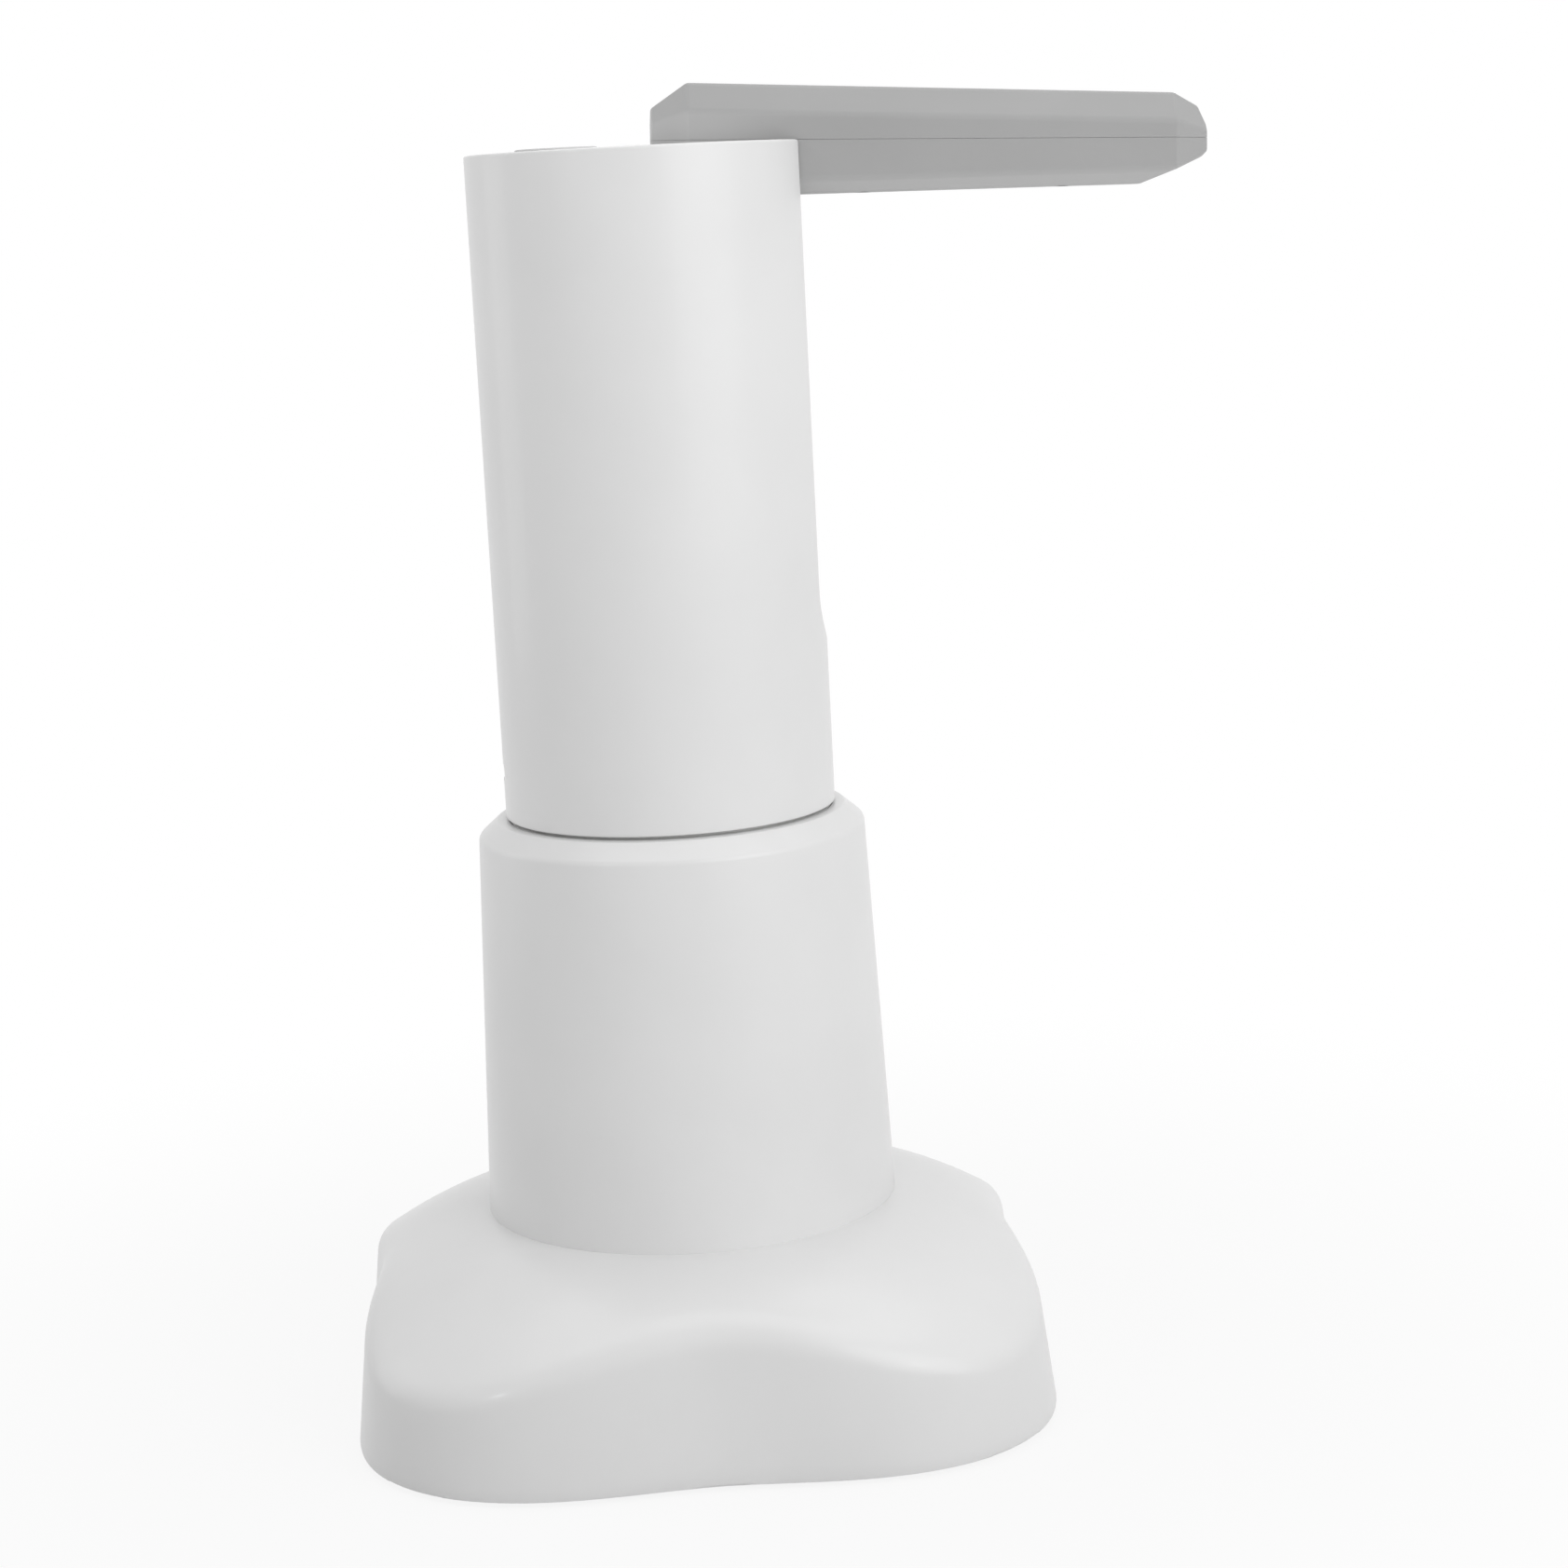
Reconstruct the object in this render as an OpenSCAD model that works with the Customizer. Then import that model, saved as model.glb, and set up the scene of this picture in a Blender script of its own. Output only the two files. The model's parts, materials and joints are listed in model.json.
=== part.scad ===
// Electric water jug pump: a battery pump head with a folding spout, docked on a table stand.
// Millimetres, +Z up, +X towards the spout, origin on the table under the head's axis.

/* [Stand] */
// Height that the foot ring lifts the base off the table
foot_proud = 1; // [0.5:0.1:2]
// Height of the base from its lower rim to the seat of the sleeve
base_h = 42.5; // [38:0.5:60]
// Half width of the base at the middle of a side
base_mid = 76.7; // [74:0.1:95]
// How far the sides of the base are drawn in between the corners
base_waist = 9.6; // [0:0.1:11]
// Squareness of the base outline, 2 is a circle
base_square = 2.57; // [2.3:0.01:3.2]
// Lean of the base wall from the vertical, in degrees
base_lean = 7.1; // [5:0.1:9]
// Slope of the base top where it leaves the sleeve
base_fall = 0.122; // [0.04:0.002:0.14]
// Growth of that slope, per millimetre of radius
base_crown = 0.009; // [0.006:0.0005:0.0115]
// Length of the round between the base wall and its top, at the corners
base_round = 3.2; // [2.5:0.1:8]
// Length of that round at the middle of a side
base_soft = 5.5; // [2.5:0.1:11]
// Wall of the base shell
base_wall = 3; // [2.4:0.1:3.6]
// Height of the sleeve above the base
sleeve_h = 90.8; // [75:0.1:140]
// Radius of the sleeve where it meets the base
sleeve_bottom_r = 47.2; // [46:0.1:50]
// Radius of the sleeve below its bevelled rim
sleeve_top_r = 44; // [43:0.1:45.5]
// Height of the bevelled rim
sleeve_bevel_h = 4.1; // [2:0.1:6]
// Wall of the sleeve
sleeve_wall = 2.6; // [2:0.1:3]
// Radius of the hose nipple at the back of the base
hose_nipple_r = 4; // [3:0.1:5]
// Length of that nipple
hose_nipple_l = 12.5; // [9:0.5:14]

/* [Pump head] */
// Outer radius of the pump head
head_r = 37.5; // [36.5:0.1:40]
// Height of the pump head
head_h = 147.6; // [140:0.1:190]
// Wall of the head shell
head_wall = 2.4; // [1.8:0.1:2.8]
// Shadow gap between the head and the sleeve
head_gap = 0.7; // [0.4:0.1:1.5]
// Depth of the spigot that drops into the sleeve
spigot_h = 14; // [10:0.5:18]
// Radius of the power button
button_r = 9.2; // [7:0.1:10]
// Height of the button above the head's rim
button_proud = 0.8; // [0.7:0.1:2]
// Travel of the button
button_travel = 0.6; // [0.3:0.1:0.7]

/* [Folding spout] */
// Length of the spout
spout_len = 123.4; // [100:0.1:140]
// Width of the spout
spout_w = 23.4; // [21:0.1:25]
// Half thickness of the spout at its back shoulder
spout_back_t = 12.4; // [11.5:0.1:13]
// Half thickness of the spout at its front shoulder
spout_tip_t = 9.85; // [9:0.05:11]
// Length of the spout behind its hinge
spout_back = 18.3; // [16:0.1:19]
// Length of the sloped ends of the spout
spout_end = 8.6; // [7:0.1:10]
// Height of the bevel along the top edges of the spout
spout_bevel_h = 6.15; // [4:0.05:7]
// Width of the bevels along the top edges and at the corners
spout_bevel_w = 6; // [4:0.1:7]
// Bevel along the bottom edges of the spout
spout_lower_bevel = 2.6; // [1.5:0.1:3]
// Wall of the spout shells
spout_wall = 2; // [1.6:0.1:2.2]
// Height of the spout's parting line above its hinge
part_rise = 4; // [3.9:0.1:5]
// Depth of the hinge below the head's rim
hinge_drop = 3.5; // [3.3:0.1:5]
// How far the folded spout stands proud of the head
spout_proud = 0.7; // [0:0.1:2]
// Angle that the open spout droops, in degrees
spout_droop = 2.45; // [0:0.05:4]
// Gap between the spout and each side of its slot
slot_play = 0.6; // [0.4:0.1:1]

/* [Works] */
// Radius of the motor
motor_r = 12.2; // [10:0.1:12.2]
// Length of the motor
motor_l = 30.8; // [25:0.1:36]
// Teeth on each pump gear
gear_teeth = 12; // [10:1:13]
// Module of the pump gears
gear_module = 1; // [0.8:0.05:1]
// Width of the pump gears
gear_h = 7.4; // [5:0.1:9]
// Radius of the battery cell
cell_r = 9.1; // [8:0.1:9.2]
// Length of the battery cell
cell_l = 65; // [50:0.5:70]

/* [Hidden] */
$fn = 72;
eps = 0.01;

// Colours of the finishes
white = [0.87, 0.87, 0.87];
grey = [0.68, 0.68, 0.68];
black = [0.12, 0.12, 0.13];
steel = [0.7, 0.71, 0.73];
brass = [0.78, 0.62, 0.3];
silicone = [0.88, 0.9, 0.9];
board_green = [0.1, 0.33, 0.2];
wrap_blue = [0.2, 0.36, 0.55];

// Runs of pipe are laid out on hundredths, so that their ends meet
function neat(x) = round(x * 100) / 100;

// Clearances
seat_gap = 0.05;   // a pressed or screwed fit inside one body
run_gap = 0.06;    // a shaft or pin that turns
loose_gap = 0.4;   // pieces that slide past each other
cover_gap = 0.15;  // a cover in its rim
press_gap = 0.02;  // a pin or shaft pressed into its hole
screw_room = 0.2;  // around a sunk screw head
cut = 1;           // how far a cutter runs past the face that it opens
lap = 1;           // how far joined solids run into each other

// Levels of the stand and the head
base_z = foot_proud;
seat_z = base_z + base_h;
sleeve_top = seat_z + sleeve_h;
head_z = sleeve_top + head_gap;
head_top = head_z + head_h;
spigot_z = head_z - spigot_h;

// Base outline and section
base_draft = tan(base_lean);
base_land = 0.6;
land_r = sleeve_bottom_r + base_land;
sleeve_flange_w = 9.2;
base_hole_r = sleeve_bottom_r - sleeve_flange_w;
base_steps = 72;
round_steps = 5;
round_share = 0.4;
crown_steps = 4;

// Base plate, its screws and the foot ring
plate_z = base_z + 0.4;
plate_t = 3;
plate_gap = base_draft * (plate_z + plate_t - base_z) + loose_gap;
boss_r = 4.5;
boss_inset = 4;
boss_place = base_mid - boss_inset;
screw_r = 1.5;
screw_head_r = 2.9;
screw_head_h = 1.8;
screw_l = 12;
foot_inset = 11;
foot_w = 6;
foot_out_r = base_mid - foot_inset;
foot_in_r = foot_out_r - foot_w;
foot_groove = 0.6;

// Water inlet in its pocket at the back of the base
pocket_r = 10;
pocket_wall = 3;
pocket_lift = 0.6;
inlet_z = plate_z + plate_t + pocket_lift + pocket_wall + pocket_r;
inlet_flange_r = 8;
inlet_flange_t = 2;
inlet_depth = 4;
inlet_tip_x = -(base_mid - inlet_depth);
pocket_floor_x = inlet_tip_x + hose_nipple_l + inlet_flange_t;
inlet_shank_r = 5;
shank_proud = 2;
nut_t = 3;
nut_r = 8;
barb_l = 10;

// Sleeve, its socket and the dock
rim_r = head_r + 0.5;
spigot_r = head_r - 4;
spigot_wall = 2.2;
socket_r = spigot_r + loose_gap;
ring_out_r = head_r - 0.9;
ring_play = 0.3;
ring_seat_z = sleeve_top - 1;
socket_l = spigot_h + 3;
dock_z = sleeve_top - socket_l - 1;
dock_t = 3;
sleeve_flange_t = 5;
sleeve_screw_place = (base_hole_r + sleeve_bottom_r - sleeve_wall) / 2;
sleeve_screw_l = base_wall + 0.7 * sleeve_flange_t;
sleeve_screw_angles = [0, 90, 180, 270];
dock_screw_angles = [30, 150, 270];
function sleeve_r_at(z) =
    sleeve_bottom_r + (sleeve_top_r - sleeve_bottom_r) * (z - seat_z) / (sleeve_h - sleeve_bevel_h);
collar_r = sleeve_r_at(dock_z) - sleeve_wall - 3;
dock_screw_place = (socket_r + collar_r) / 2;
dock_screw_r = 1.2;
dock_screw_grip = 6;
dock_screw_head_r = 2.3;
dock_screw_head_h = 1.5;

// Dock fitting and the nipple that plugs into it
nipple_r = 5;
nipple_l = 15;
nipple_tip_z = spigot_z - nipple_l;
dock_bore_z = nipple_tip_z - 1;
dock_body_r = 9;
dock_body_z = dock_bore_z - 4;
dock_flange_r = 13;
dock_flange_t = 2;
seal_groove_r = nipple_r + 2;
seal_wire_r = 0.95;
seal_play = 0.1;
seal_z = dock_z - 4;
hose_r = 5;
hose_bore_r = 3.2;
hose_bend = 40;
dock_barb_l = 13;
water_r = 2.2;

// Pump head shell, covers and spigot
head_ir = head_r - head_wall;
cover_r = head_ir - cover_gap;
cover_sink = 0.3;
cover_t = 2.5;
cover_top = head_top - cover_sink;
cover_z = cover_top - cover_t;
ledge_h = 2;
ledge_w = 1.7;
ledge_span = 20;
ledge_angles = [50, 130, 180, 230, 310];
bottom_flange_t = 3;
cup_t = 2.4;
cup_top = spigot_z + cup_t;
leg_r = 3.5;
leg_room = 0.9;
leg_place = spigot_r - spigot_wall - leg_r - leg_room;
leg_angles = [70, 150, 210, 290];

// Works inside the head
pitch_r = gear_module * gear_teeth / 2;
gear_tip_r = pitch_r + 0.85 * gear_module;
gear_root_r = pitch_r - 1.3 * gear_module;
gear_slack = 0.16;
chamber_r = gear_tip_r + 0.35;
pump_x = -5;
pump_wall = pitch_r * 2 / 3;
pump_w = 2 * (chamber_r + pump_wall);
pump_l = pump_w + 2 * pitch_r;
gear_float = 0.3;
chamber_h = gear_h + 2 * gear_float;
pump_roof = pitch_r * 2 / 3;
pump_cover_t = pitch_r / 2;
inlet_barb_l = 8;
inlet_barb_r = 2.8;
inlet_water_r = 1.6;
inlet_hose_wall = 1.8;
nipple_flange_t = 2;
nipple_barb_z = cup_top + nipple_flange_t;
hose_joint = 1;
pump_cover_z = nipple_barb_z + 2 * inlet_barb_l + hose_joint;
pump_z = pump_cover_z + pump_cover_t;
pump_top = pump_z + chamber_h + pump_roof;
deck_t = 2.5;
deck_top = pump_top + deck_t;
deck_r = head_ir - loose_gap;
deck_play = 0.6;
motor_y = -pitch_r;
idler_y = pitch_r;
shaft_r = 1;
idler_r = 1.5;
idler_blind = 1;
motor_cap_h = motor_r / 4;
motor_boss_r = motor_r / 4;
motor_screw_place = 0.65 * motor_r;
motor_screw_r = 1;
motor_screw_grip = 3;
motor_screw_head_r = 1.9;
motor_screw_head_h = 1.3;
pump_screw_r = 1.3;
pump_screw_edge = 2.6;
pump_screw_head_r = 2.3;
pump_screw_head_h = 1.5;
soft_r = 3.5;
soft_bore_r = 2.2;
soft_barb_r = soft_bore_r - seat_gap;
soft_water_r = 1.4;
outlet_x = pump_x - motor_r - soft_r - deck_play;
outlet_barb_l = 9;
outlet_wall = 2;
outlet_block_w = 2 * (soft_barb_r + outlet_wall);

// Battery, boards and port
holder_wall = 1.2;
holder_r = cell_r + cover_gap + holder_wall;
holder_end = 2.4;
holder_band = 8;
cell_cap_r = 2.8;
cell_cap_h = 1;
holder_x = -4;
holder_y = head_ir - holder_r - 2;
pcb_t = 1.6;
pcb_inset = 3.3;
pcb_x = -(head_ir - pcb_inset);
pcb_w = 22;
pcb_drop = 4;
pcb_z = pump_cover_z - pcb_drop;
pcb_l = 68;
usb_w = 9;
usb_h = 3.2;
usb_z = pcb_z + 7;
usb_play = 0.25;
usb_sink = 0.6;
usb_skin = 0.35;
usb_back = 1.5;
chip_h = 1.3;
chip_room = 2 * chip_h;

// Button and its switch
button_flange_r = button_r + 1.4;
button_flange_t = 1.4;
button_side_gap = 0.3;
button_soft = 0.6;
button_rest = 0.1;
stem_r = 2.5;
switch_board_r = 14;
switch_board_z = cover_z - 11;
switch_w = 6;
switch_h = 3.5;
plunger_h = 1;
plunger_r = 1.75;
post_r = 1.5;
post_place = 12.4;
post_angles = [60, 180, 300];

// Spout in its own frame: u along the spout from the hinge, v up, w above the parting line
u_back = -spout_back;
u_tip = spout_len - spout_back;
u_shoulder_b = u_back + spout_end;
u_shoulder_t = u_tip - spout_end - 0.2;
spout_taper = (spout_back_t - spout_tip_t) / (u_shoulder_t - u_shoulder_b);
function half_t(u) = spout_back_t - spout_taper * (u - u_shoulder_b);
taper_angle = atan(spout_taper);
parting_gap = 0.24;
hinge_x = neat(head_r + spout_proud - part_rise - half_t(0));
hinge_z = head_top - hinge_drop;
pin_r = 2;
pivot_boss_r = part_rise - parting_gap / 2 - 0.1;
pivot_in = 7;
u_slope = u_tip - 15.9;
back_lip = 0.6;
back_slope_h = 5;
tip_chin = [-1.7, -3.8];
tip_low = [0, -2.5];
tip_high = [-0.1, 2.2];
tip_brow = [-2.4, 0.7 * spout_tip_t];
back_drop = 2.4;
tip_drop = 1.5;
corner_ease = 0.2;

// Slot and cradle for the folded spout
slot_half = spout_w / 2 + slot_play;
slot_tip_gap = 2.5;
slot_end_z = hinge_z - u_tip - slot_tip_gap;
slot_mid_z = slot_end_z + slot_half;
cradle_wall = 1.6;
cheek = 3;
cheek_h = 12;
bay_gap = 1.2;
bay_x = hinge_x - spout_back - bay_gap;
button_x = neat((bay_x - cradle_wall - head_ir) / 2);
pocket_gap = 1.4;
pocket_x = hinge_x - (half_t(0) - part_rise) - pocket_gap;
cradle_r = head_ir - 0.2;

// Water way through the hinge and the spout
entry_u = 5;
entry_barb_l = 5;
hinge_bend = 10;
skin_v = part_rise - half_t(entry_u);
tube_r = 4;
tube_bore_r = 2.75;
tube_w = -1.5;
tube_start_u = entry_u + 5;
elbow_lift = 0.2;
elbow_step = 0.4;
elbow_barb_l = 6;
elbow_water_r = 1.6;
entry_water_r = 1.2;
slope_len = u_tip + tip_chin.x - u_slope;
slope_rise = half_t(u_slope) + tip_chin.y;
slope_angle = atan2(slope_rise, slope_len);
nozzle_u = u_slope + 6.2;
nozzle_w = -half_t(u_slope) + (nozzle_u - u_slope) * tan(slope_angle);
nozzle_r = 5.4;
nozzle_t = 2.4;
nozzle_sink = 0.3;
tube_turn = 90 - slope_angle;
tube_bend = (tube_w - nozzle_w - nozzle_t * sin(tube_turn)) / (1 - cos(tube_turn));
spout_screw_u = [28, 72];
spout_screw_y = 7;
spout_screw_r = 1.1;
spout_screw_head_h = 1.2;
spout_screw_seat = 5;
spout_screw_grip = 3.5;
spout_post_r = 2.4;
spout_screw_head_r = spout_post_r - 0.4;
spout_well_r = spout_screw_head_r + 0.1;

// Soft hose under the hinge: its upright end stands around the middle of the spout's barb
entry_barb_r = soft_bore_r - 0.35;
entry_x = neat(hinge_x + entry_u * cos(spout_droop) + (skin_v - entry_barb_l / 2) * sin(spout_droop));
hose_top_z = neat(hinge_z - entry_u * sin(spout_droop) + skin_v * cos(spout_droop) - loose_gap);
hose_tail = 5;
bend_x = entry_x - hinge_bend;
gland_z = hose_top_z - hose_tail - hinge_bend;
bay_z = gland_z - soft_r - 3.6;
gland_flange_r = 5.5;
gland_flange_t = 2;
gland_nose = 6;
gland_back_nose = 3.2;
bend_room = 0.3;
outlet_bend = neat(bay_x - cradle_wall - gland_flange_t - gland_back_nose - bend_room - outlet_x);

// Helpers
module tube(r_out, r_in, h) {
    difference() {
        cylinder(r = r_out, h = h);
        translate([0, 0, -eps]) cylinder(r = r_in, h = h + 2 * eps);
    }
}

module around(places, r) {
    for (a = places) rotate(a) translate([r, 0, 0]) children();
}

// A bend of pipe in the XZ plane: starts at the origin along +X and turns up
module bend_up(radius, turn, r_out, r_in) {
    translate([0, 0, radius]) rotate([90, 0, 0]) rotate(-90)
        rotate_extrude(angle = turn) translate([radius, 0]) difference() {
            circle(r = r_out, $fn = 40);
            circle(r = r_in, $fn = 40);
        }
}

module pipe_x(length, r_out, r_in) {
    rotate([0, 90, 0]) tube(r_out, r_in, length);
}

function unit_normal(a, b) = let (d = b - a) [-d.y, d.x] / norm(d);

// A convex outline, counter-clockwise, moved inwards by d
function inset(p, d) = [
    for (i = [0:len(p) - 1])
        let (
            n = len(p),
            m1 = unit_normal(p[(i + n - 1) % n], p[i]),
            m2 = unit_normal(p[i], p[(i + 1) % n])
        )
        p[i] + d * (m1 + m2) / (1 + m1 * m2)
];

module screw(length, r, head_r, head_h) {
    cylinder(r = head_r, h = head_h);
    cylinder(r = r, h = head_h + length);
}

// Base: a rounded square with drawn-in sides, lofted through one section for each direction
function power_sum(t) = pow(abs(cos(t)), base_square) + pow(abs(sin(t)), base_square);

function base_r(t) =
    (base_mid + base_waist) / pow(power_sum(t), 1 / base_square) - base_waist * pow(cos(2 * t), 2);

function crown_z(s) = seat_z - base_fall * s - base_crown * s * s;

// Where the wall would meet the crowned top, as a distance outside the sleeve's land
function brow_s(t, skin) =
    let (
        b = base_fall - 1 / base_draft,
        c = base_z - seat_z + skin + (base_r(t) - skin - land_r) / base_draft
    )
    (-b - sqrt(b * b - 4 * base_crown * c)) / (2 * base_crown);

function curve(p, q, r, k) = (1 - k) * (1 - k) * p + 2 * k * (1 - k) * q + k * k * r;

// The round runs from the corners to the middles of the sides, and is shorter inside the wall
function round_at(t) = base_round + (base_soft - base_round) * pow(cos(2 * t), 2);

function base_section(t, skin) =
    let (
        s = brow_s(t, skin),
        f = round_at(t) - round_share * skin,
        brow = [land_r + s, crown_z(s) - skin],
        low = brow + [base_draft * f, -f],
        high = [land_r + s - f, crown_z(s - f) - skin]
    )
    concat(
        [for (k = [0:round_steps]) curve(low, brow, high, k / round_steps)],
        [
            for (k = [1:crown_steps])
                let (q = (s - f) * (1 - k / crown_steps))
                [land_r + q, crown_z(q) - skin]
        ]
    );

module base_loft(skin, low_z, steps) {
    rings = round_steps + crown_steps + 2;
    angles = [for (i = [0:steps - 1]) 360 * i / steps];
    sections = [
        for (t = angles)
            let (low_r = base_r(t) - skin + base_draft * (base_z - low_z))
            concat([[low_r, low_z]], base_section(t, skin))
    ];
    points = [
        for (j = [0:rings - 1]) for (i = [0:steps - 1])
            let (p = sections[i][j], t = angles[i]) [p.x * cos(t), p.x * sin(t), p.y]
    ];
    walls = [
        for (j = [0:rings - 2]) for (i = [0:steps - 1])
            let (a = j * steps + i, b = j * steps + (i + 1) % steps)
            each [[a, a + steps, b], [b, a + steps, b + steps]]
    ];
    floor_face = [for (i = [0:steps - 1]) i];
    top_face = [for (i = [steps - 1:-1:0]) (rings - 1) * steps + i];
    polyhedron(points, concat(walls, [floor_face, top_face]));
}

module base_outline(d) {
    polygon([
        for (i = [0:base_steps - 1])
            let (t = 360 * i / base_steps)
            (base_r(t) - d) * [cos(t), sin(t)]
    ]);
}

module base_bosses() {
    around([45, 135, 225, 315], boss_place) children();
}

module base_shell() {
    color(white) difference() {
        union() {
            difference() {
                base_loft(0, base_z, base_steps);
                base_loft(base_wall, base_z - 2 * cut, base_steps);
            }
            intersection() {
                base_loft(base_wall / 2, base_z, base_steps);
                base_bosses() translate([0, 0, plate_z + plate_t]) cylinder(r = boss_r, h = base_h);
            }
            intersection() {
                base_loft(0, base_z, base_steps);
                translate([pocket_floor_x + pocket_wall, 0, inlet_z]) rotate([0, -90, 0])
                    cylinder(r = pocket_r + pocket_wall, h = base_mid);
            }
        }
        translate([0, 0, seat_z - base_wall - cut]) {
            cylinder(r = base_hole_r, h = base_wall + 2 * cut);
            around(sleeve_screw_angles, sleeve_screw_place)
                cylinder(r = screw_r + seat_gap, h = base_wall + 2 * cut);
        }
        base_bosses() cylinder(r = screw_r + seat_gap, h = plate_z + screw_head_h + screw_l + cut);
        translate([pocket_floor_x, 0, inlet_z]) rotate([0, -90, 0])
            cylinder(r = pocket_r, h = base_mid);
        translate([pocket_floor_x + base_mid / 2, 0, inlet_z]) rotate([0, -90, 0])
            cylinder(r = inlet_shank_r + seat_gap, h = base_mid);
    }
}

module base_plate() {
    color(white) difference() {
        translate([0, 0, plate_z]) linear_extrude(plate_t) base_outline(base_wall + plate_gap);
        translate([0, 0, base_z])
            tube(foot_out_r + seat_gap, foot_in_r - seat_gap, plate_z - base_z + foot_groove);
        base_bosses() cylinder(r = screw_r + seat_gap, h = plate_z + plate_t + cut);
        base_bosses() cylinder(r = screw_head_r + seat_gap, h = plate_z + screw_head_h);
    }
}

module base_screws() {
    color(steel) base_bosses() translate([0, 0, plate_z])
        screw(screw_l, screw_r, screw_head_r, screw_head_h);
}

module foot_ring() {
    color(black) tube(foot_out_r, foot_in_r, plate_z + foot_groove);
}

// Sleeve: a tapered tube with a bevelled rim, a socket for the head and a flange on the base
module sleeve() {
    edge_z = sleeve_top - sleeve_bevel_h;
    color(white) difference() {
        rotate_extrude() polygon([
            [base_hole_r, seat_z], [sleeve_bottom_r, seat_z], [sleeve_top_r, edge_z], [rim_r, sleeve_top],
            [ring_out_r + ring_play, sleeve_top], [ring_out_r + ring_play, ring_seat_z],
            [socket_r, ring_seat_z],
            [socket_r, dock_z], [collar_r, dock_z], [collar_r, edge_z - 2 * sleeve_wall],
            [sleeve_r_at(edge_z - sleeve_wall) - sleeve_wall, edge_z - sleeve_wall],
            [sleeve_r_at(seat_z) - sleeve_wall, seat_z + sleeve_flange_t],
            [base_hole_r, seat_z + sleeve_flange_t]
        ]);
        around(sleeve_screw_angles, sleeve_screw_place)
            translate([0, 0, seat_z - cut]) cylinder(r = screw_r + seat_gap, h = sleeve_flange_t);
        around(dock_screw_angles, dock_screw_place)
            translate([0, 0, dock_z - cut])
                cylinder(r = dock_screw_r + seat_gap, h = dock_screw_grip + 2 * cut);
    }
}

module sleeve_screws() {
    color(steel) around(sleeve_screw_angles, sleeve_screw_place)
        translate([0, 0, seat_z - base_wall - screw_head_h])
            screw(sleeve_screw_l, screw_r, screw_head_r, screw_head_h);
}

module dock_plate() {
    color(white) translate([0, 0, dock_z - dock_t]) difference() {
        cylinder(r = collar_r, h = dock_t);
        translate([0, 0, -cut]) {
            cylinder(r = dock_body_r + seat_gap, h = dock_t + 2 * cut);
            around(dock_screw_angles, dock_screw_place)
                cylinder(r = dock_screw_r + seat_gap, h = dock_t + 2 * cut);
        }
    }
}

module dock_screws() {
    color(steel) around(dock_screw_angles, dock_screw_place)
        translate([0, 0, dock_z - dock_t - dock_screw_head_h])
            screw(dock_t + dock_screw_grip, dock_screw_r, dock_screw_head_r, dock_screw_head_h);
}

module dock_fitting() {
    color(black) rotate_extrude() difference() {
        union() {
            translate([0, dock_body_z]) square([dock_body_r, dock_z + dock_flange_t - dock_body_z]);
            translate([0, dock_z]) square([dock_flange_r, dock_flange_t]);
            translate([0, dock_body_z - dock_barb_l]) square([hose_bore_r - seat_gap, dock_barb_l + lap]);
        }
        translate([0, dock_bore_z]) square([nipple_r + run_gap, 2 * nipple_l]);
        translate([0, seal_z - seal_wire_r - seal_play])
            square([seal_groove_r + seal_play, 2 * (seal_wire_r + seal_play)]);
        translate([0, dock_body_z - dock_barb_l - cut])
            square([water_r, dock_barb_l + dock_bore_z - dock_body_z + 2 * cut]);
    }
}

module dock_seal() {
    color(black) translate([0, 0, seal_z]) rotate_extrude()
        translate([nipple_r + run_gap + seal_wire_r, 0]) circle(r = seal_wire_r, $fn = 32);
}

// Inlet: a hose nipple outside, a shank through the wall, and a barb for the riser hose inside
module water_inlet() {
    shank_l = pocket_wall + nut_t + shank_proud;
    back_l = inlet_flange_t + hose_nipple_l;
    color(black) translate([pocket_floor_x, 0, inlet_z]) rotate([0, 90, 0]) difference() {
        union() {
            translate([0, 0, -inlet_flange_t]) cylinder(r = inlet_flange_r, h = inlet_flange_t);
            translate([0, 0, -back_l]) cylinder(r = hose_nipple_r, h = hose_nipple_l + lap);
            cylinder(r = inlet_shank_r, h = shank_l);
            cylinder(r = hose_bore_r - seat_gap, h = shank_l + barb_l);
        }
        translate([0, 0, -back_l - cut]) cylinder(r = water_r, h = back_l + shank_l + barb_l + 2 * cut);
    }
}

module inlet_nut() {
    color(black) translate([pocket_floor_x + pocket_wall, 0, inlet_z]) rotate([0, 90, 0]) difference() {
        cylinder(r = nut_r, h = nut_t, $fn = 6);
        translate([0, 0, -cut]) cylinder(r = inlet_shank_r + seat_gap, h = nut_t + 2 * cut);
    }
}

// Riser hose: out of the inlet, round one bend and up to the dock
module riser_hose() {
    start_x = pocket_floor_x + pocket_wall + nut_t + shank_proud;
    color(silicone) {
        translate([start_x, 0, inlet_z]) pipe_x(-hose_bend - start_x, hose_r, hose_bore_r);
        translate([-hose_bend, 0, inlet_z]) bend_up(hose_bend, 90, hose_r, hose_bore_r);
        translate([0, 0, inlet_z + hose_bend])
            tube(hose_r, hose_bore_r, dock_body_z - inlet_z - hose_bend);
    }
}

// Ring that the head stands and turns on
module glide_ring() {
    color(white) translate([0, 0, ring_seat_z])
        tube(ring_out_r, spigot_r + loose_gap, head_z - ring_seat_z);
}

// Upright space of the fold slot: straight sides and a round lower end, from x on
module slot_space(x, half, rise) {
    translate([x, 0, slot_mid_z]) rotate([90, 0, 90]) linear_extrude(2 * head_r) {
        circle(r = half);
        translate([-half, 0]) square([2 * half, head_top - slot_mid_z + rise]);
    }
}

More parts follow.
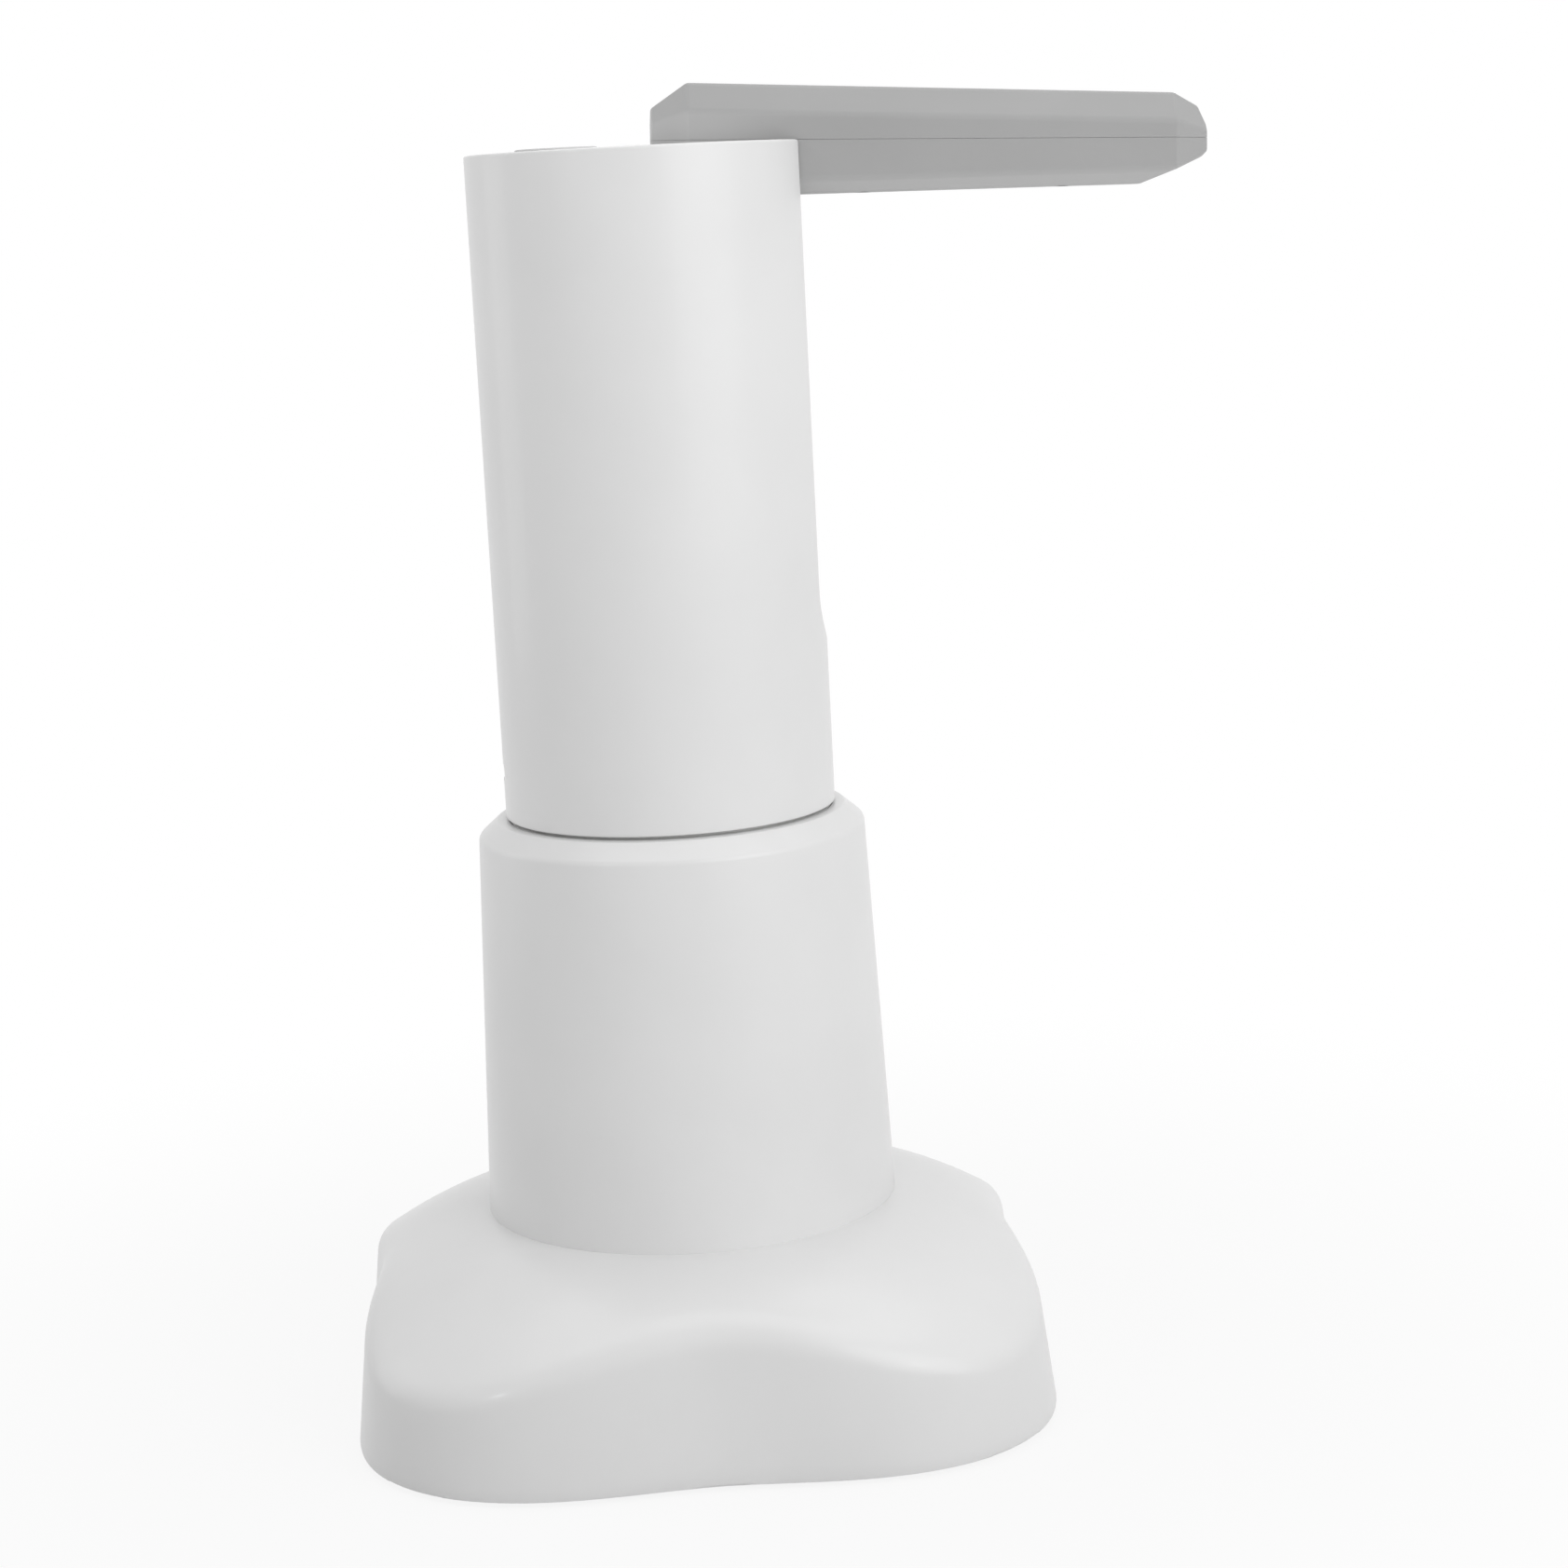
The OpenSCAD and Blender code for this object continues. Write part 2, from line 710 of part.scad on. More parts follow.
module head_shell() {
    color(white) difference() {
        union() {
            translate([0, 0, head_z]) rotate(90) tube(head_r, head_ir, head_h);
            for (a = ledge_angles) rotate(a - ledge_span / 2) rotate_extrude(angle = ledge_span)
                translate([head_ir - ledge_w, cover_z - ledge_h])
                    square([ledge_w + head_wall / 2, ledge_h]);
        }
        slot_space(pocket_x, slot_half, cut);
        translate([-head_r - cut, 0, usb_z]) rotate([0, 90, 0])
            port_outline(usb_play, 2 * head_wall + cut);
    }
}

// The port's outline: a flat slot with round ends, standing along +Z before it is turned
module port_outline(grow, length) {
    r = usb_h / 2 + grow;
    flat = usb_w / 2 - usb_h / 2;
    linear_extrude(length) {
        translate([-r, -flat]) square([2 * r, 2 * flat]);
        for (s = [-1, 1]) translate([0, s * flat]) circle(r = r, $fn = 32);
    }
}

module top_cover() {
    half = slot_half + cheek + cover_gap;
    color(white) difference() {
        union() {
            translate([0, 0, cover_z]) cylinder(r = cover_r, h = cover_t);
            translate([button_x, 0, 0]) around(post_angles, post_place)
                translate([0, 0, switch_board_z + pcb_t])
                    cylinder(r = post_r, h = cover_z - switch_board_z - pcb_t + lap);
        }
        translate([bay_x - cradle_wall - cover_gap, -half, cover_z - cut])
            cube([head_r * 2, 2 * half, cover_t + 2 * cut]);
        translate([button_x, 0, cover_z - cut])
            cylinder(r = button_r + button_side_gap, h = cover_t + 2 * cut);
    }
}

// Lower end of the head: a flange in the shell and a spigot cup that drops into the sleeve
module head_bottom() {
    color(white) difference() {
        rotate_extrude() polygon([
            [nipple_r + seat_gap, spigot_z], [spigot_r, spigot_z], [spigot_r, head_z], [cover_r, head_z],
            [cover_r, head_z + bottom_flange_t], [spigot_r - spigot_wall, head_z + bottom_flange_t],
            [spigot_r - spigot_wall, cup_top], [nipple_r + seat_gap, cup_top]
        ]);
        around(leg_angles, leg_place) translate([0, 0, spigot_z - cut])
            cylinder(r = screw_r + seat_gap, h = cup_t + 2 * cut);
    }
}

module bottom_screws() {
    color(steel) around(leg_angles, leg_place)
        translate([0, 0, spigot_z - screw_head_h])
            screw(cup_t + screw_l, screw_r, screw_head_r, screw_head_h);
}

module inlet_nipple() {
    color(black) difference() {
        union() {
            translate([0, 0, nipple_tip_z]) cylinder(r = nipple_r, h = nipple_l + cup_t + lap);
            translate([0, 0, cup_top]) cylinder(r = dock_body_r, h = nipple_flange_t);
            translate([0, 0, nipple_barb_z - lap]) cylinder(r = inlet_barb_r, h = inlet_barb_l + lap);
        }
        translate([0, 0, nipple_tip_z - cut])
            cylinder(r = water_r, h = nipple_barb_z + inlet_barb_l - nipple_tip_z + 2 * cut);
    }
}

// Deck over the pump, on four legs that stand in the spigot cup
module chassis() {
    half = slot_half + cradle_wall + deck_play;
    color(grey) difference() {
        union() {
            translate([0, 0, pump_top]) cylinder(r = deck_r, h = deck_t);
            around(leg_angles, leg_place) translate([0, 0, cup_top])
                cylinder(r = leg_r, h = pump_top - cup_top + lap);
        }
        around(leg_angles, leg_place) translate([0, 0, cup_top - cut])
            cylinder(r = screw_r + seat_gap, h = screw_l + 2 * cut);
        translate([0, 0, pump_top - cut]) linear_extrude(deck_t + 2 * cut) {
            translate([pocket_x - cradle_wall - deck_play, -half]) square([head_r, 2 * half]);
            translate([pcb_x - head_r, -pcb_w / 2 - cover_gap])
                square([head_r + pcb_t + chip_room, pcb_w + 2 * cover_gap]);
            translate([outlet_x, 0]) circle(r = soft_r + deck_play);
            translate([pump_x, motor_y]) circle(r = motor_boss_r + cover_gap);
            motor_screw_spots() circle(r = motor_screw_r + seat_gap);
            pump_screw_spots() circle(r = pump_screw_r + seat_gap);
        }
    }
}

module motor_screw_spots() {
    for (s = [-1, 1]) translate([pump_x, motor_y + s * motor_screw_place, 0]) children();
}

module pump_screw_spots() {
    for (sx = [-1, 1]) for (sy = [-1, 1])
        translate([pump_x + sx * (pump_w / 2 - pump_screw_edge), sy * (pump_l / 2 - pump_screw_edge), 0])
            children();
}

module motor_can() {
    color(steel) translate([pump_x, motor_y, deck_top]) difference() {
        union() {
            cylinder(r = motor_r, h = motor_l);
            translate([0, 0, -deck_t]) cylinder(r = motor_boss_r, h = deck_t + lap);
        }
        translate([0, 0, -deck_t - cut]) cylinder(r = shaft_r + run_gap, h = motor_l + deck_t + 2 * cut);
        for (s = [-1, 1]) translate([0, s * motor_screw_place, -cut])
            cylinder(r = motor_screw_r + seat_gap, h = motor_screw_grip + 2 * cut);
    }
}

module motor_end_cap() {
    hub_r = motor_r / 3;
    hub_h = 1.6 * motor_cap_h;
    tab = [motor_r / 4, motor_r / 20, 2.4 * motor_cap_h];
    tab_x = 0.57 * motor_r;
    color(black) translate([pump_x, motor_y, deck_top + motor_l]) difference() {
        union() {
            cylinder(r = motor_r - loose_gap, h = motor_cap_h);
            cylinder(r = hub_r, h = hub_h);
            for (s = [-1, 1]) translate([s * tab_x - tab.x / 2, -tab.y / 2, 0]) cube(tab);
        }
        translate([0, 0, -cut]) cylinder(r = shaft_r + run_gap, h = motor_cap_h);
    }
}

module motor_screws() {
    color(steel) motor_screw_spots() translate([0, 0, pump_top - motor_screw_head_h])
        screw(deck_t + motor_screw_grip, motor_screw_r, motor_screw_head_r, motor_screw_head_h);
}

// Gear pump: two meshed gears in a figure-of-eight chamber, with the outlet led to the back
module pump_body() {
    port_z = pump_z + chamber_h / 2;
    color(black) difference() {
        union() {
            translate([pump_x - pump_w / 2, -pump_l / 2, pump_z])
                cube([pump_w, pump_l, pump_top - pump_z]);
            translate([outlet_x - outlet_block_w / 2, -outlet_block_w / 2, pump_z])
                cube([pump_x - outlet_x, outlet_block_w, pump_top - pump_z]);
            translate([outlet_x, 0, pump_top - lap]) cylinder(r = soft_barb_r, h = outlet_barb_l + lap);
        }
        for (y = [motor_y, idler_y]) translate([pump_x, y, pump_z - cut])
            cylinder(r = chamber_r, h = chamber_h + cut);
        translate([pump_x, motor_y, pump_z])
            cylinder(r = shaft_r + run_gap, h = chamber_h + pump_roof + cut);
        translate([pump_x, idler_y, pump_z])
            cylinder(r = idler_r + seat_gap, h = chamber_h + pump_roof - idler_blind);
        motor_screw_spots() translate([0, 0, pump_top - motor_screw_head_h - screw_room])
            cylinder(r = motor_screw_head_r + screw_room, h = motor_screw_head_h + cut);
        pump_screw_spots() translate([0, 0, pump_z - cut])
            cylinder(r = pump_screw_r + seat_gap, h = pump_top - pump_z + 2 * cut);
        translate([outlet_x, 0, port_z]) {
            cylinder(r = soft_water_r, h = pump_top + outlet_barb_l);
            rotate([0, 90, 0]) cylinder(r = soft_water_r, h = pump_x - outlet_x);
        }
    }
}

module pump_cover() {
    color(black) difference() {
        union() {
            translate([pump_x - pump_w / 2, -pump_l / 2, pump_cover_z])
                cube([pump_w, pump_l, pump_cover_t]);
            translate([0, 0, pump_cover_z - inlet_barb_l]) cylinder(r = inlet_barb_r, h = inlet_barb_l + lap);
        }
        translate([0, 0, pump_cover_z - inlet_barb_l - cut])
            cylinder(r = inlet_water_r, h = inlet_barb_l + pump_cover_t + 2 * cut);
        translate([pump_x, idler_y, pump_cover_z + idler_blind])
            cylinder(r = idler_r + seat_gap, h = pump_cover_t);
        pump_screw_spots() translate([0, 0, pump_cover_z - cut])
            cylinder(r = pump_screw_r + seat_gap, h = pump_cover_t + 2 * cut);
    }
}

module pump_screws() {
    color(steel) pump_screw_spots() translate([0, 0, pump_cover_z - pump_screw_head_h])
        screw(deck_top - pump_cover_z, pump_screw_r, pump_screw_head_r, pump_screw_head_h);
}

module idler_shaft() {
    color(steel) translate([pump_x, idler_y, pump_cover_z + idler_blind])
        cylinder(r = idler_r, h = pump_top - pump_cover_z - 2 * idler_blind);
}

// Gear tooth flanks are involutes of the base circle, thinned by the slack
gear_pressure = 25;
gear_base_r = pitch_r * cos(gear_pressure);
function roll_at(r) = r > gear_base_r ? sqrt(r * r / (gear_base_r * gear_base_r) - 1) : 0;
function flank_angle(r) = let (k = roll_at(r)) k * 180 / PI - atan(k);
gear_half = 90 / gear_teeth + flank_angle(pitch_r) - gear_slack / pitch_r * 180 / PI;
flank_steps = 4;

module gear_outline(phase) {
    flank = [
        for (k = [0:flank_steps])
            let (r = gear_root_r + (gear_tip_r - gear_root_r) * k / flank_steps)
            [r, gear_half - flank_angle(r)]
    ];
    polygon([
        for (i = [0:gear_teeth - 1]) let (mid = phase + 360 * i / gear_teeth)
            each concat(
                [for (f = flank) f[0] * [cos(mid - f[1]), sin(mid - f[1])]],
                [for (k = [flank_steps:-1:0]) let (f = flank[k]) f[0] * [cos(mid + f[1]), sin(mid + f[1])]]
            )
    ]);
}

module gear(y, bore, phase) {
    translate([pump_x, y, pump_z + gear_float]) difference() {
        linear_extrude(gear_h) gear_outline(phase);
        translate([0, 0, -cut]) cylinder(r = bore, h = gear_h + 2 * cut);
    }
}

module motor_shaft() {
    color(steel) translate([pump_x, motor_y, pump_z + gear_float])
        cylinder(r = shaft_r, h = deck_top + motor_l - pump_z);
}

// The drive gear has a tooth on the line of centres, and the idler a gap
module drive_gear() {
    color(brass) gear(motor_y, shaft_r + press_gap, 90);
}

module idler_gear() {
    color(brass) gear(idler_y, idler_r + run_gap, 270 + 180 / gear_teeth);
}

module inlet_hose() {
    color(silicone) translate([0, 0, nipple_barb_z])
        tube(inlet_barb_r + inlet_hose_wall, inlet_barb_r + seat_gap, pump_cover_z - nipple_barb_z);
}

// Outlet hose: up behind the motor, round a bend and forward to the gland
module outlet_hose() {
    end_x = bay_x - cradle_wall - gland_flange_t;
    rise = gland_z - outlet_bend;
    color(silicone) {
        translate([outlet_x, 0, pump_top]) tube(soft_r, soft_bore_r, rise - pump_top);
        translate([outlet_x + outlet_bend, 0, gland_z]) rotate([0, 180, 0])
            bend_up(outlet_bend, 90, soft_r, soft_bore_r);
        translate([outlet_x + outlet_bend, 0, gland_z])
            pipe_x(end_x - outlet_x - outlet_bend, soft_r, soft_bore_r);
    }
}

module hose_gland() {
    back_l = gland_flange_t + gland_back_nose;
    front_l = cradle_wall + gland_nose;
    color(black) translate([bay_x - cradle_wall, 0, gland_z]) rotate([0, 90, 0]) difference() {
        union() {
            translate([0, 0, -gland_flange_t]) cylinder(r = gland_flange_r, h = gland_flange_t);
            cylinder(r = soft_r, h = cradle_wall);
            translate([0, 0, -back_l]) cylinder(r = soft_barb_r, h = back_l + front_l);
        }
        translate([0, 0, -back_l - cut]) cylinder(r = soft_water_r, h = back_l + front_l + 2 * cut);
    }
}

// Soft hose under the hinge: from the gland, up into the spout
module hinge_hose() {
    color(silicone) {
        translate([bay_x, 0, gland_z]) pipe_x(bend_x - bay_x, soft_r, soft_bore_r);
        translate([bend_x, 0, gland_z]) bend_up(hinge_bend, 90, soft_r, soft_bore_r);
        translate([entry_x, 0, gland_z + hinge_bend]) tube(soft_r, soft_bore_r, hose_tail);
    }
}

// Cradle: the channel behind the slot, with a hinge bay and cheeks at its upper end
module spout_cradle() {
    outer = slot_half + cradle_wall;
    back = bay_x - cradle_wall;
    color(grey) difference() {
        intersection() {
            translate([0, 0, head_z]) cylinder(r = cradle_r, h = head_h - cover_sink);
            union() {
                slot_space(pocket_x - cradle_wall, outer, 0);
                translate([back, -outer, bay_z - cradle_wall])
                    cube([head_r * 2, 2 * outer, head_top - bay_z]);
                translate([back, -slot_half - cheek, head_top - cheek_h])
                    cube([head_r * 2, 2 * (slot_half + cheek), cheek_h]);
            }
        }
        slot_space(pocket_x, slot_half, cut);
        translate([bay_x, -slot_half, bay_z]) cube([head_r * 2, 2 * slot_half, head_top - bay_z + cut]);
        translate([back - cut, 0, gland_z]) rotate([0, 90, 0])
            cylinder(r = soft_r + seat_gap, h = cradle_wall + 2 * cut);
        translate([hinge_x, -head_r, hinge_z]) rotate([-90, 0, 0])
            cylinder(r = pin_r + press_gap, h = 2 * head_r);
    }
}

module hinge_pins() {
    color(steel) for (s = [-1, 1])
        translate([hinge_x, s * (slot_half + cheek), hinge_z]) rotate([s * 90, 0, 0])
            cylinder(r = pin_r, h = slot_half + cheek - pivot_in);
}

module battery_cell() {
    color(wrap_blue) translate([holder_x, holder_y, deck_top + holder_end]) {
        cylinder(r = cell_r, h = cell_l);
        cylinder(r = cell_cap_r, h = cell_l + cell_cap_h);
    }
}

module battery_holder() {
    color(black) translate([holder_x, holder_y, deck_top]) difference() {
        cylinder(r = holder_r, h = cell_l + cell_cap_h + 2 * holder_end);
        translate([0, 0, holder_end]) cylinder(r = cell_r + cover_gap, h = cell_l + cell_cap_h);
        translate([-holder_r - cut, -holder_r - cut, holder_end + holder_band])
            cube([2 * (holder_r + cut), holder_r, cell_l - 2 * holder_band]);
    }
}

module control_board() {
    chips = [[-5, 21, 7, 7], [3, 33, 5, 9], [-6, 45, 9, 6], [4, 57, 5, 5]];
    color(board_green) {
        translate([pcb_x, -pcb_w / 2, pcb_z]) cube([pcb_t, pcb_w, pcb_l]);
        for (c = chips) translate([pcb_x + pcb_t - eps, c[0] - c[2] / 2, pcb_z + c[1]])
            cube([chip_h, c[2], c[3]]);
    }
}

module usb_port() {
    depth = head_r - usb_sink + pcb_x;
    color(steel) translate([pcb_x, 0, usb_z]) rotate([0, -90, 0]) difference() {
        port_outline(0, depth);
        translate([0, 0, usb_back]) port_outline(-usb_skin, depth);
    }
}

module switch_board() {
    color(board_green) translate([button_x, 0, switch_board_z]) cylinder(r = switch_board_r, h = pcb_t);
}

module tact_switch() {
    color(black) translate([button_x, 0, switch_board_z + pcb_t]) {
        translate([-switch_w / 2, -switch_w / 2, 0]) cube([switch_w, switch_w, switch_h]);
        cylinder(r = plunger_r, h = switch_h + plunger_h);
    }
}

// Button: a cap with a rounded rim, a flange that keeps it under the cover and a stem
module power_button() {
    top = head_top + button_proud;
    stem_z = switch_board_z + pcb_t + switch_h + plunger_h + button_travel + button_rest;
    color(grey) translate([button_x, 0, 0]) {
        rotate_extrude() polygon(concat(
            [
                [0, cover_z - button_flange_t], [button_flange_r, cover_z - button_flange_t],
                [button_flange_r, cover_z], [button_r, cover_z]
            ],
            [for (a = [0:22.5:90]) [button_r, top] + button_soft * [cos(a) - 1, sin(a) - 1]],
            [[0, top]]
        ));
        translate([0, 0, stem_z]) cylinder(r = stem_r, h = cover_z - stem_z);
    }
}

// Spout: planes through a side view, a plan and two tapered cross-sections, then four corner facets
module at_hinge() {
    translate([hinge_x, 0, hinge_z]) rotate([0, spout_droop, 0]) children();
}

function side_view() = [
    [u_back, 0], [u_back + back_lip, back_slope_h - half_t(u_back)], [u_shoulder_b, -half_t(u_shoulder_b)],
    [u_slope, -half_t(u_slope)], [u_tip, 0] + tip_chin, [u_tip, 0] + tip_low, [u_tip, 0] + tip_high,
    [u_tip, 0] + tip_brow, [u_shoulder_t, half_t(u_shoulder_t)], [u_shoulder_b, half_t(u_shoulder_b)],
    [u_back + back_lip, half_t(u_back) - back_slope_h]
];

function plan_view() = let (b = spout_w / 2, c = b - spout_bevel_w) [
    [u_back, -c], [u_shoulder_b, -b], [u_shoulder_t, -b], [u_tip, -c],
    [u_tip, c], [u_shoulder_t, b], [u_shoulder_b, b], [u_back, c]
];

function upper_section() = let (b = spout_w / 2, h = half_t(0) - spout_bevel_h) [
    [-b, -spout_len], [b, -spout_len], [b, h], [0, h + b * spout_bevel_h / spout_bevel_w], [-b, h]
];

function lower_section() = let (b = spout_w / 2, h = half_t(0) - spout_lower_bevel) [
    [-b, -h], [0, -h - b], [b, -h], [b, spout_len], [-b, spout_len]
];

module along_spout(outline, tilt) {
    rotate([0, tilt, 0]) translate([-spout_len, 0, 0]) rotate([90, 0, 90])
        linear_extrude(2 * spout_len) polygon(outline);
}

// Outside of the facet across an upper corner, where a bevel ends at u; drop is the fall of its lower edge
module corner_cut(u, end_u, drop, side, d) {
    foot = [u, side * spout_w / 2, half_t(u) - spout_bevel_h];
    rise = [0, -side * spout_bevel_w, spout_bevel_h];
    run = [end_u - u, -side * spout_bevel_w, -drop];
    square = cross(rise, run);
    out = square * sign(square.z) / norm(square);
    translate(foot + (corner_ease - d) * out) rotate([0, acos(out.z), atan2(out.y, out.x)])
        translate([-spout_w, -spout_w, 0]) cube([2 * spout_w, 2 * spout_w, spout_w]);
}

// The spout's solid about its parting plane, drawn in by d
module spout_form(d) {
    difference() {
        intersection() {
            rotate([90, 0, 0]) translate([0, 0, -spout_w])
                linear_extrude(2 * spout_w) polygon(inset(side_view(), d));
            translate([0, 0, -spout_w]) linear_extrude(2 * spout_w) polygon(inset(plan_view(), d));
            along_spout(inset(upper_section(), d), taper_angle);
            along_spout(inset(lower_section(), d), -taper_angle);
        }
        for (side = [-1, 1]) {
            corner_cut(u_shoulder_b, u_back, back_drop, side, d);
            corner_cut(u_shoulder_t, u_tip, tip_drop, side, d);
        }
    }
}

module spout_half(s) {
    far = 2 * spout_len;
    translate([0, 0, part_rise]) intersection() {
        difference() {
            spout_form(0);
            spout_form(spout_wall);
        }
        translate([-far / 2, -far / 2, s > 0 ? parting_gap / 2 : -far - parting_gap / 2]) cube(far);
    }
}

module spout_screw_spots() {
    for (u = spout_screw_u) for (s = [-1, 1]) translate([u, s * spout_screw_y, part_rise]) children();
}

module spout_upper_shell() {
    color(grey) at_hinge() difference() {
        union() {
            spout_half(1);
            intersection() {
                translate([0, 0, part_rise]) spout_form(spout_wall / 2);
                spout_screw_spots() translate([0, 0, parting_gap / 2])
                    cylinder(r = spout_post_r, h = spout_back_t);
            }
        }
        spout_screw_spots() translate([0, 0, -cut])
            cylinder(r = spout_screw_r + seat_gap, h = spout_screw_grip + 2 * cut);
    }
}

module spout_lower_shell() {
    color(grey) at_hinge() difference() {
        union() {
            spout_half(-1);
            for (s = [-1, 1]) rotate([s * -90, 0, 0])
                translate([0, 0, pivot_in])
                    cylinder(r = pivot_boss_r, h = spout_w / 2 - spout_wall / 2 - pivot_in);
            intersection() {
                translate([0, 0, part_rise]) spout_form(spout_wall / 2);
                spout_screw_spots() translate([0, 0, -spout_back_t])
                    cylinder(r = spout_post_r, h = spout_back_t - parting_gap / 2);
            }
        }
        rotate([-90, 0, 0]) translate([0, 0, -spout_w]) cylinder(r = pin_r + run_gap, h = 2 * spout_w);
        spout_screw_spots() translate([0, 0, -spout_w]) {
            cylinder(r = spout_screw_r + seat_gap, h = 2 * spout_w);
            cylinder(r = spout_well_r, h = spout_w - spout_screw_seat);
        }
        translate([entry_u, 0, skin_v - spout_wall])
            cylinder(r = entry_barb_r + seat_gap, h = 4 * spout_wall);
        nozzle_seat() translate([0, 0, -nozzle_r]) cylinder(r = nozzle_r + seat_gap, h = 2 * nozzle_r);
    }
}

module spout_screws() {
    color(steel) at_hinge() spout_screw_spots() translate([0, 0, -spout_screw_seat - spout_screw_head_h])
        screw(spout_screw_seat + spout_screw_grip, spout_screw_r, spout_screw_head_r, spout_screw_head_h);
}

// Square to the sloped face under the tip, with +Z pointing into the spout
module nozzle_seat() {
    translate([nozzle_u, 0, part_rise + nozzle_w]) rotate([0, -slope_angle, 0]) children();
}

module spout_elbow() {
    tube_v = part_rise + tube_w;
    barb_v = skin_v - entry_barb_l;
    body_v = skin_v + spout_wall + elbow_lift;
    run_l = tube_start_u - entry_u;
    color(black) at_hinge() translate([entry_u, 0, 0]) difference() {
        union() {
            translate([0, 0, barb_v]) cylinder(r = entry_barb_r, h = tube_v - barb_v);
            translate([0, 0, body_v]) cylinder(r = tube_r, h = tube_v + tube_r / 2 - body_v);
            translate([0, 0, tube_v]) rotate([0, 90, 0]) {
                cylinder(r = tube_r - elbow_step, h = run_l);
                cylinder(r = tube_bore_r - seat_gap, h = run_l + elbow_barb_l);
            }
        }
        translate([0, 0, barb_v - cut]) cylinder(r = entry_water_r, h = tube_v - barb_v + cut);
        translate([0, 0, tube_v]) rotate([0, 90, 0])
            cylinder(r = elbow_water_r, h = run_l + elbow_barb_l + cut);
    }
}

// Spout tube: along the spout, then bent square to the sloped face
module spout_tube() {
    bend_u = neat(nozzle_u - tube_bend * sin(tube_turn) - nozzle_t * cos(tube_turn));
    color(silicone) at_hinge() translate([0, 0, part_rise + tube_w]) {
        translate([tube_start_u, 0, 0]) pipe_x(bend_u - tube_start_u, tube_r, tube_bore_r);
        translate([bend_u, 0, 0]) mirror([0, 0, 1]) bend_up(tube_bend, tube_turn, tube_r, tube_bore_r);
    }
}

module spout_nozzle() {
    color(grey) at_hinge() nozzle_seat() difference() {
        translate([0, 0, nozzle_sink]) cylinder(r = nozzle_r, h = nozzle_t - nozzle_sink);
        cylinder(r = tube_bore_r, h = nozzle_t + cut);
    }
}

base_shell();
base_plate();
base_screws();
foot_ring();
sleeve();
sleeve_screws();
dock_plate();
dock_screws();
dock_fitting();
dock_seal();
water_inlet();
inlet_nut();
riser_hose();
glide_ring();
head_shell();
top_cover();
head_bottom();
bottom_screws();
inlet_nipple();
chassis();
motor_can();
motor_end_cap();
motor_screws();
pump_body();
pump_cover();
pump_screws();
idler_shaft();
inlet_hose();
outlet_hose();
hose_gland();
hinge_hose();
spout_cradle();
hinge_pins();
battery_cell();
battery_holder();
control_board();
usb_port();
switch_board();
tact_switch();
motor_shaft();
drive_gear();
idler_gear();
power_button();
spout_upper_shell();
spout_lower_shell();
spout_elbow();
spout_tube();
spout_nozzle();
spout_screws();
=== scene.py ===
"""Electric water jug pump on its table stand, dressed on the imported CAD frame.

Metres, +Z up, +X towards the tip of the open spout.
"""
import json
import math

import bmesh
import bpy
from mathutils import Matrix, Vector


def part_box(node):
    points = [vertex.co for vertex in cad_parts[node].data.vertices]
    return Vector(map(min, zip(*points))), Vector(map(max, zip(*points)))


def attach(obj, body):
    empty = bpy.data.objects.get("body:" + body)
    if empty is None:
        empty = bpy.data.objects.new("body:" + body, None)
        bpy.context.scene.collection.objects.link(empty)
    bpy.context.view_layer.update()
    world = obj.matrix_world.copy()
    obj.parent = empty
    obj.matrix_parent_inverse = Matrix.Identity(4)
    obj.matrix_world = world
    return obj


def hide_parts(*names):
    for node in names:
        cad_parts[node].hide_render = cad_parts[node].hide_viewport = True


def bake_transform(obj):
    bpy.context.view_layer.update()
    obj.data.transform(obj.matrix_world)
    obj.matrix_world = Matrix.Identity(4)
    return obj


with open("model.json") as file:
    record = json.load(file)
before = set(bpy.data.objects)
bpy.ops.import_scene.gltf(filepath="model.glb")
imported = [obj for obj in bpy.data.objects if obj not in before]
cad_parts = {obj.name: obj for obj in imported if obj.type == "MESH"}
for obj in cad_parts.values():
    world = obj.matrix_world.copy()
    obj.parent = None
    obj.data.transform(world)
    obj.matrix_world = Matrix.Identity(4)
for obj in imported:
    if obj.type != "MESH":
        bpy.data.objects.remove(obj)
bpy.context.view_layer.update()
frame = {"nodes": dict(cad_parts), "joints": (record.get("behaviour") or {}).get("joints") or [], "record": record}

MM = 0.001


def low(node):
    return Vector(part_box(node)[0])


def high(node):
    return Vector(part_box(node)[1])


def middle(node):
    return (low(node) + high(node)) / 2


# Sizes read from the frame
BASE_Z = low("base_shell").z
SEAT_Z = low("sleeve").z
SLEEVE_TOP = high("sleeve").z
SLEEVE_FOOT_R = high("sleeve").y
HEAD_Z = low("head_shell").z
HEAD_TOP = high("head_shell").z
HEAD_R = high("head_shell").y
COVER_R = high("top_cover").y
COVER_TOP = high("top_cover").z
RING_R = high("glide_ring").y
RING_Z = low("glide_ring").z
HINGE = Vector(next(j for j in frame["joints"] if j["name"] == "spout_fold")["pos_m"])
BUTTON_X = middle("power_button").x
FOOT_R = high("foot_ring").y

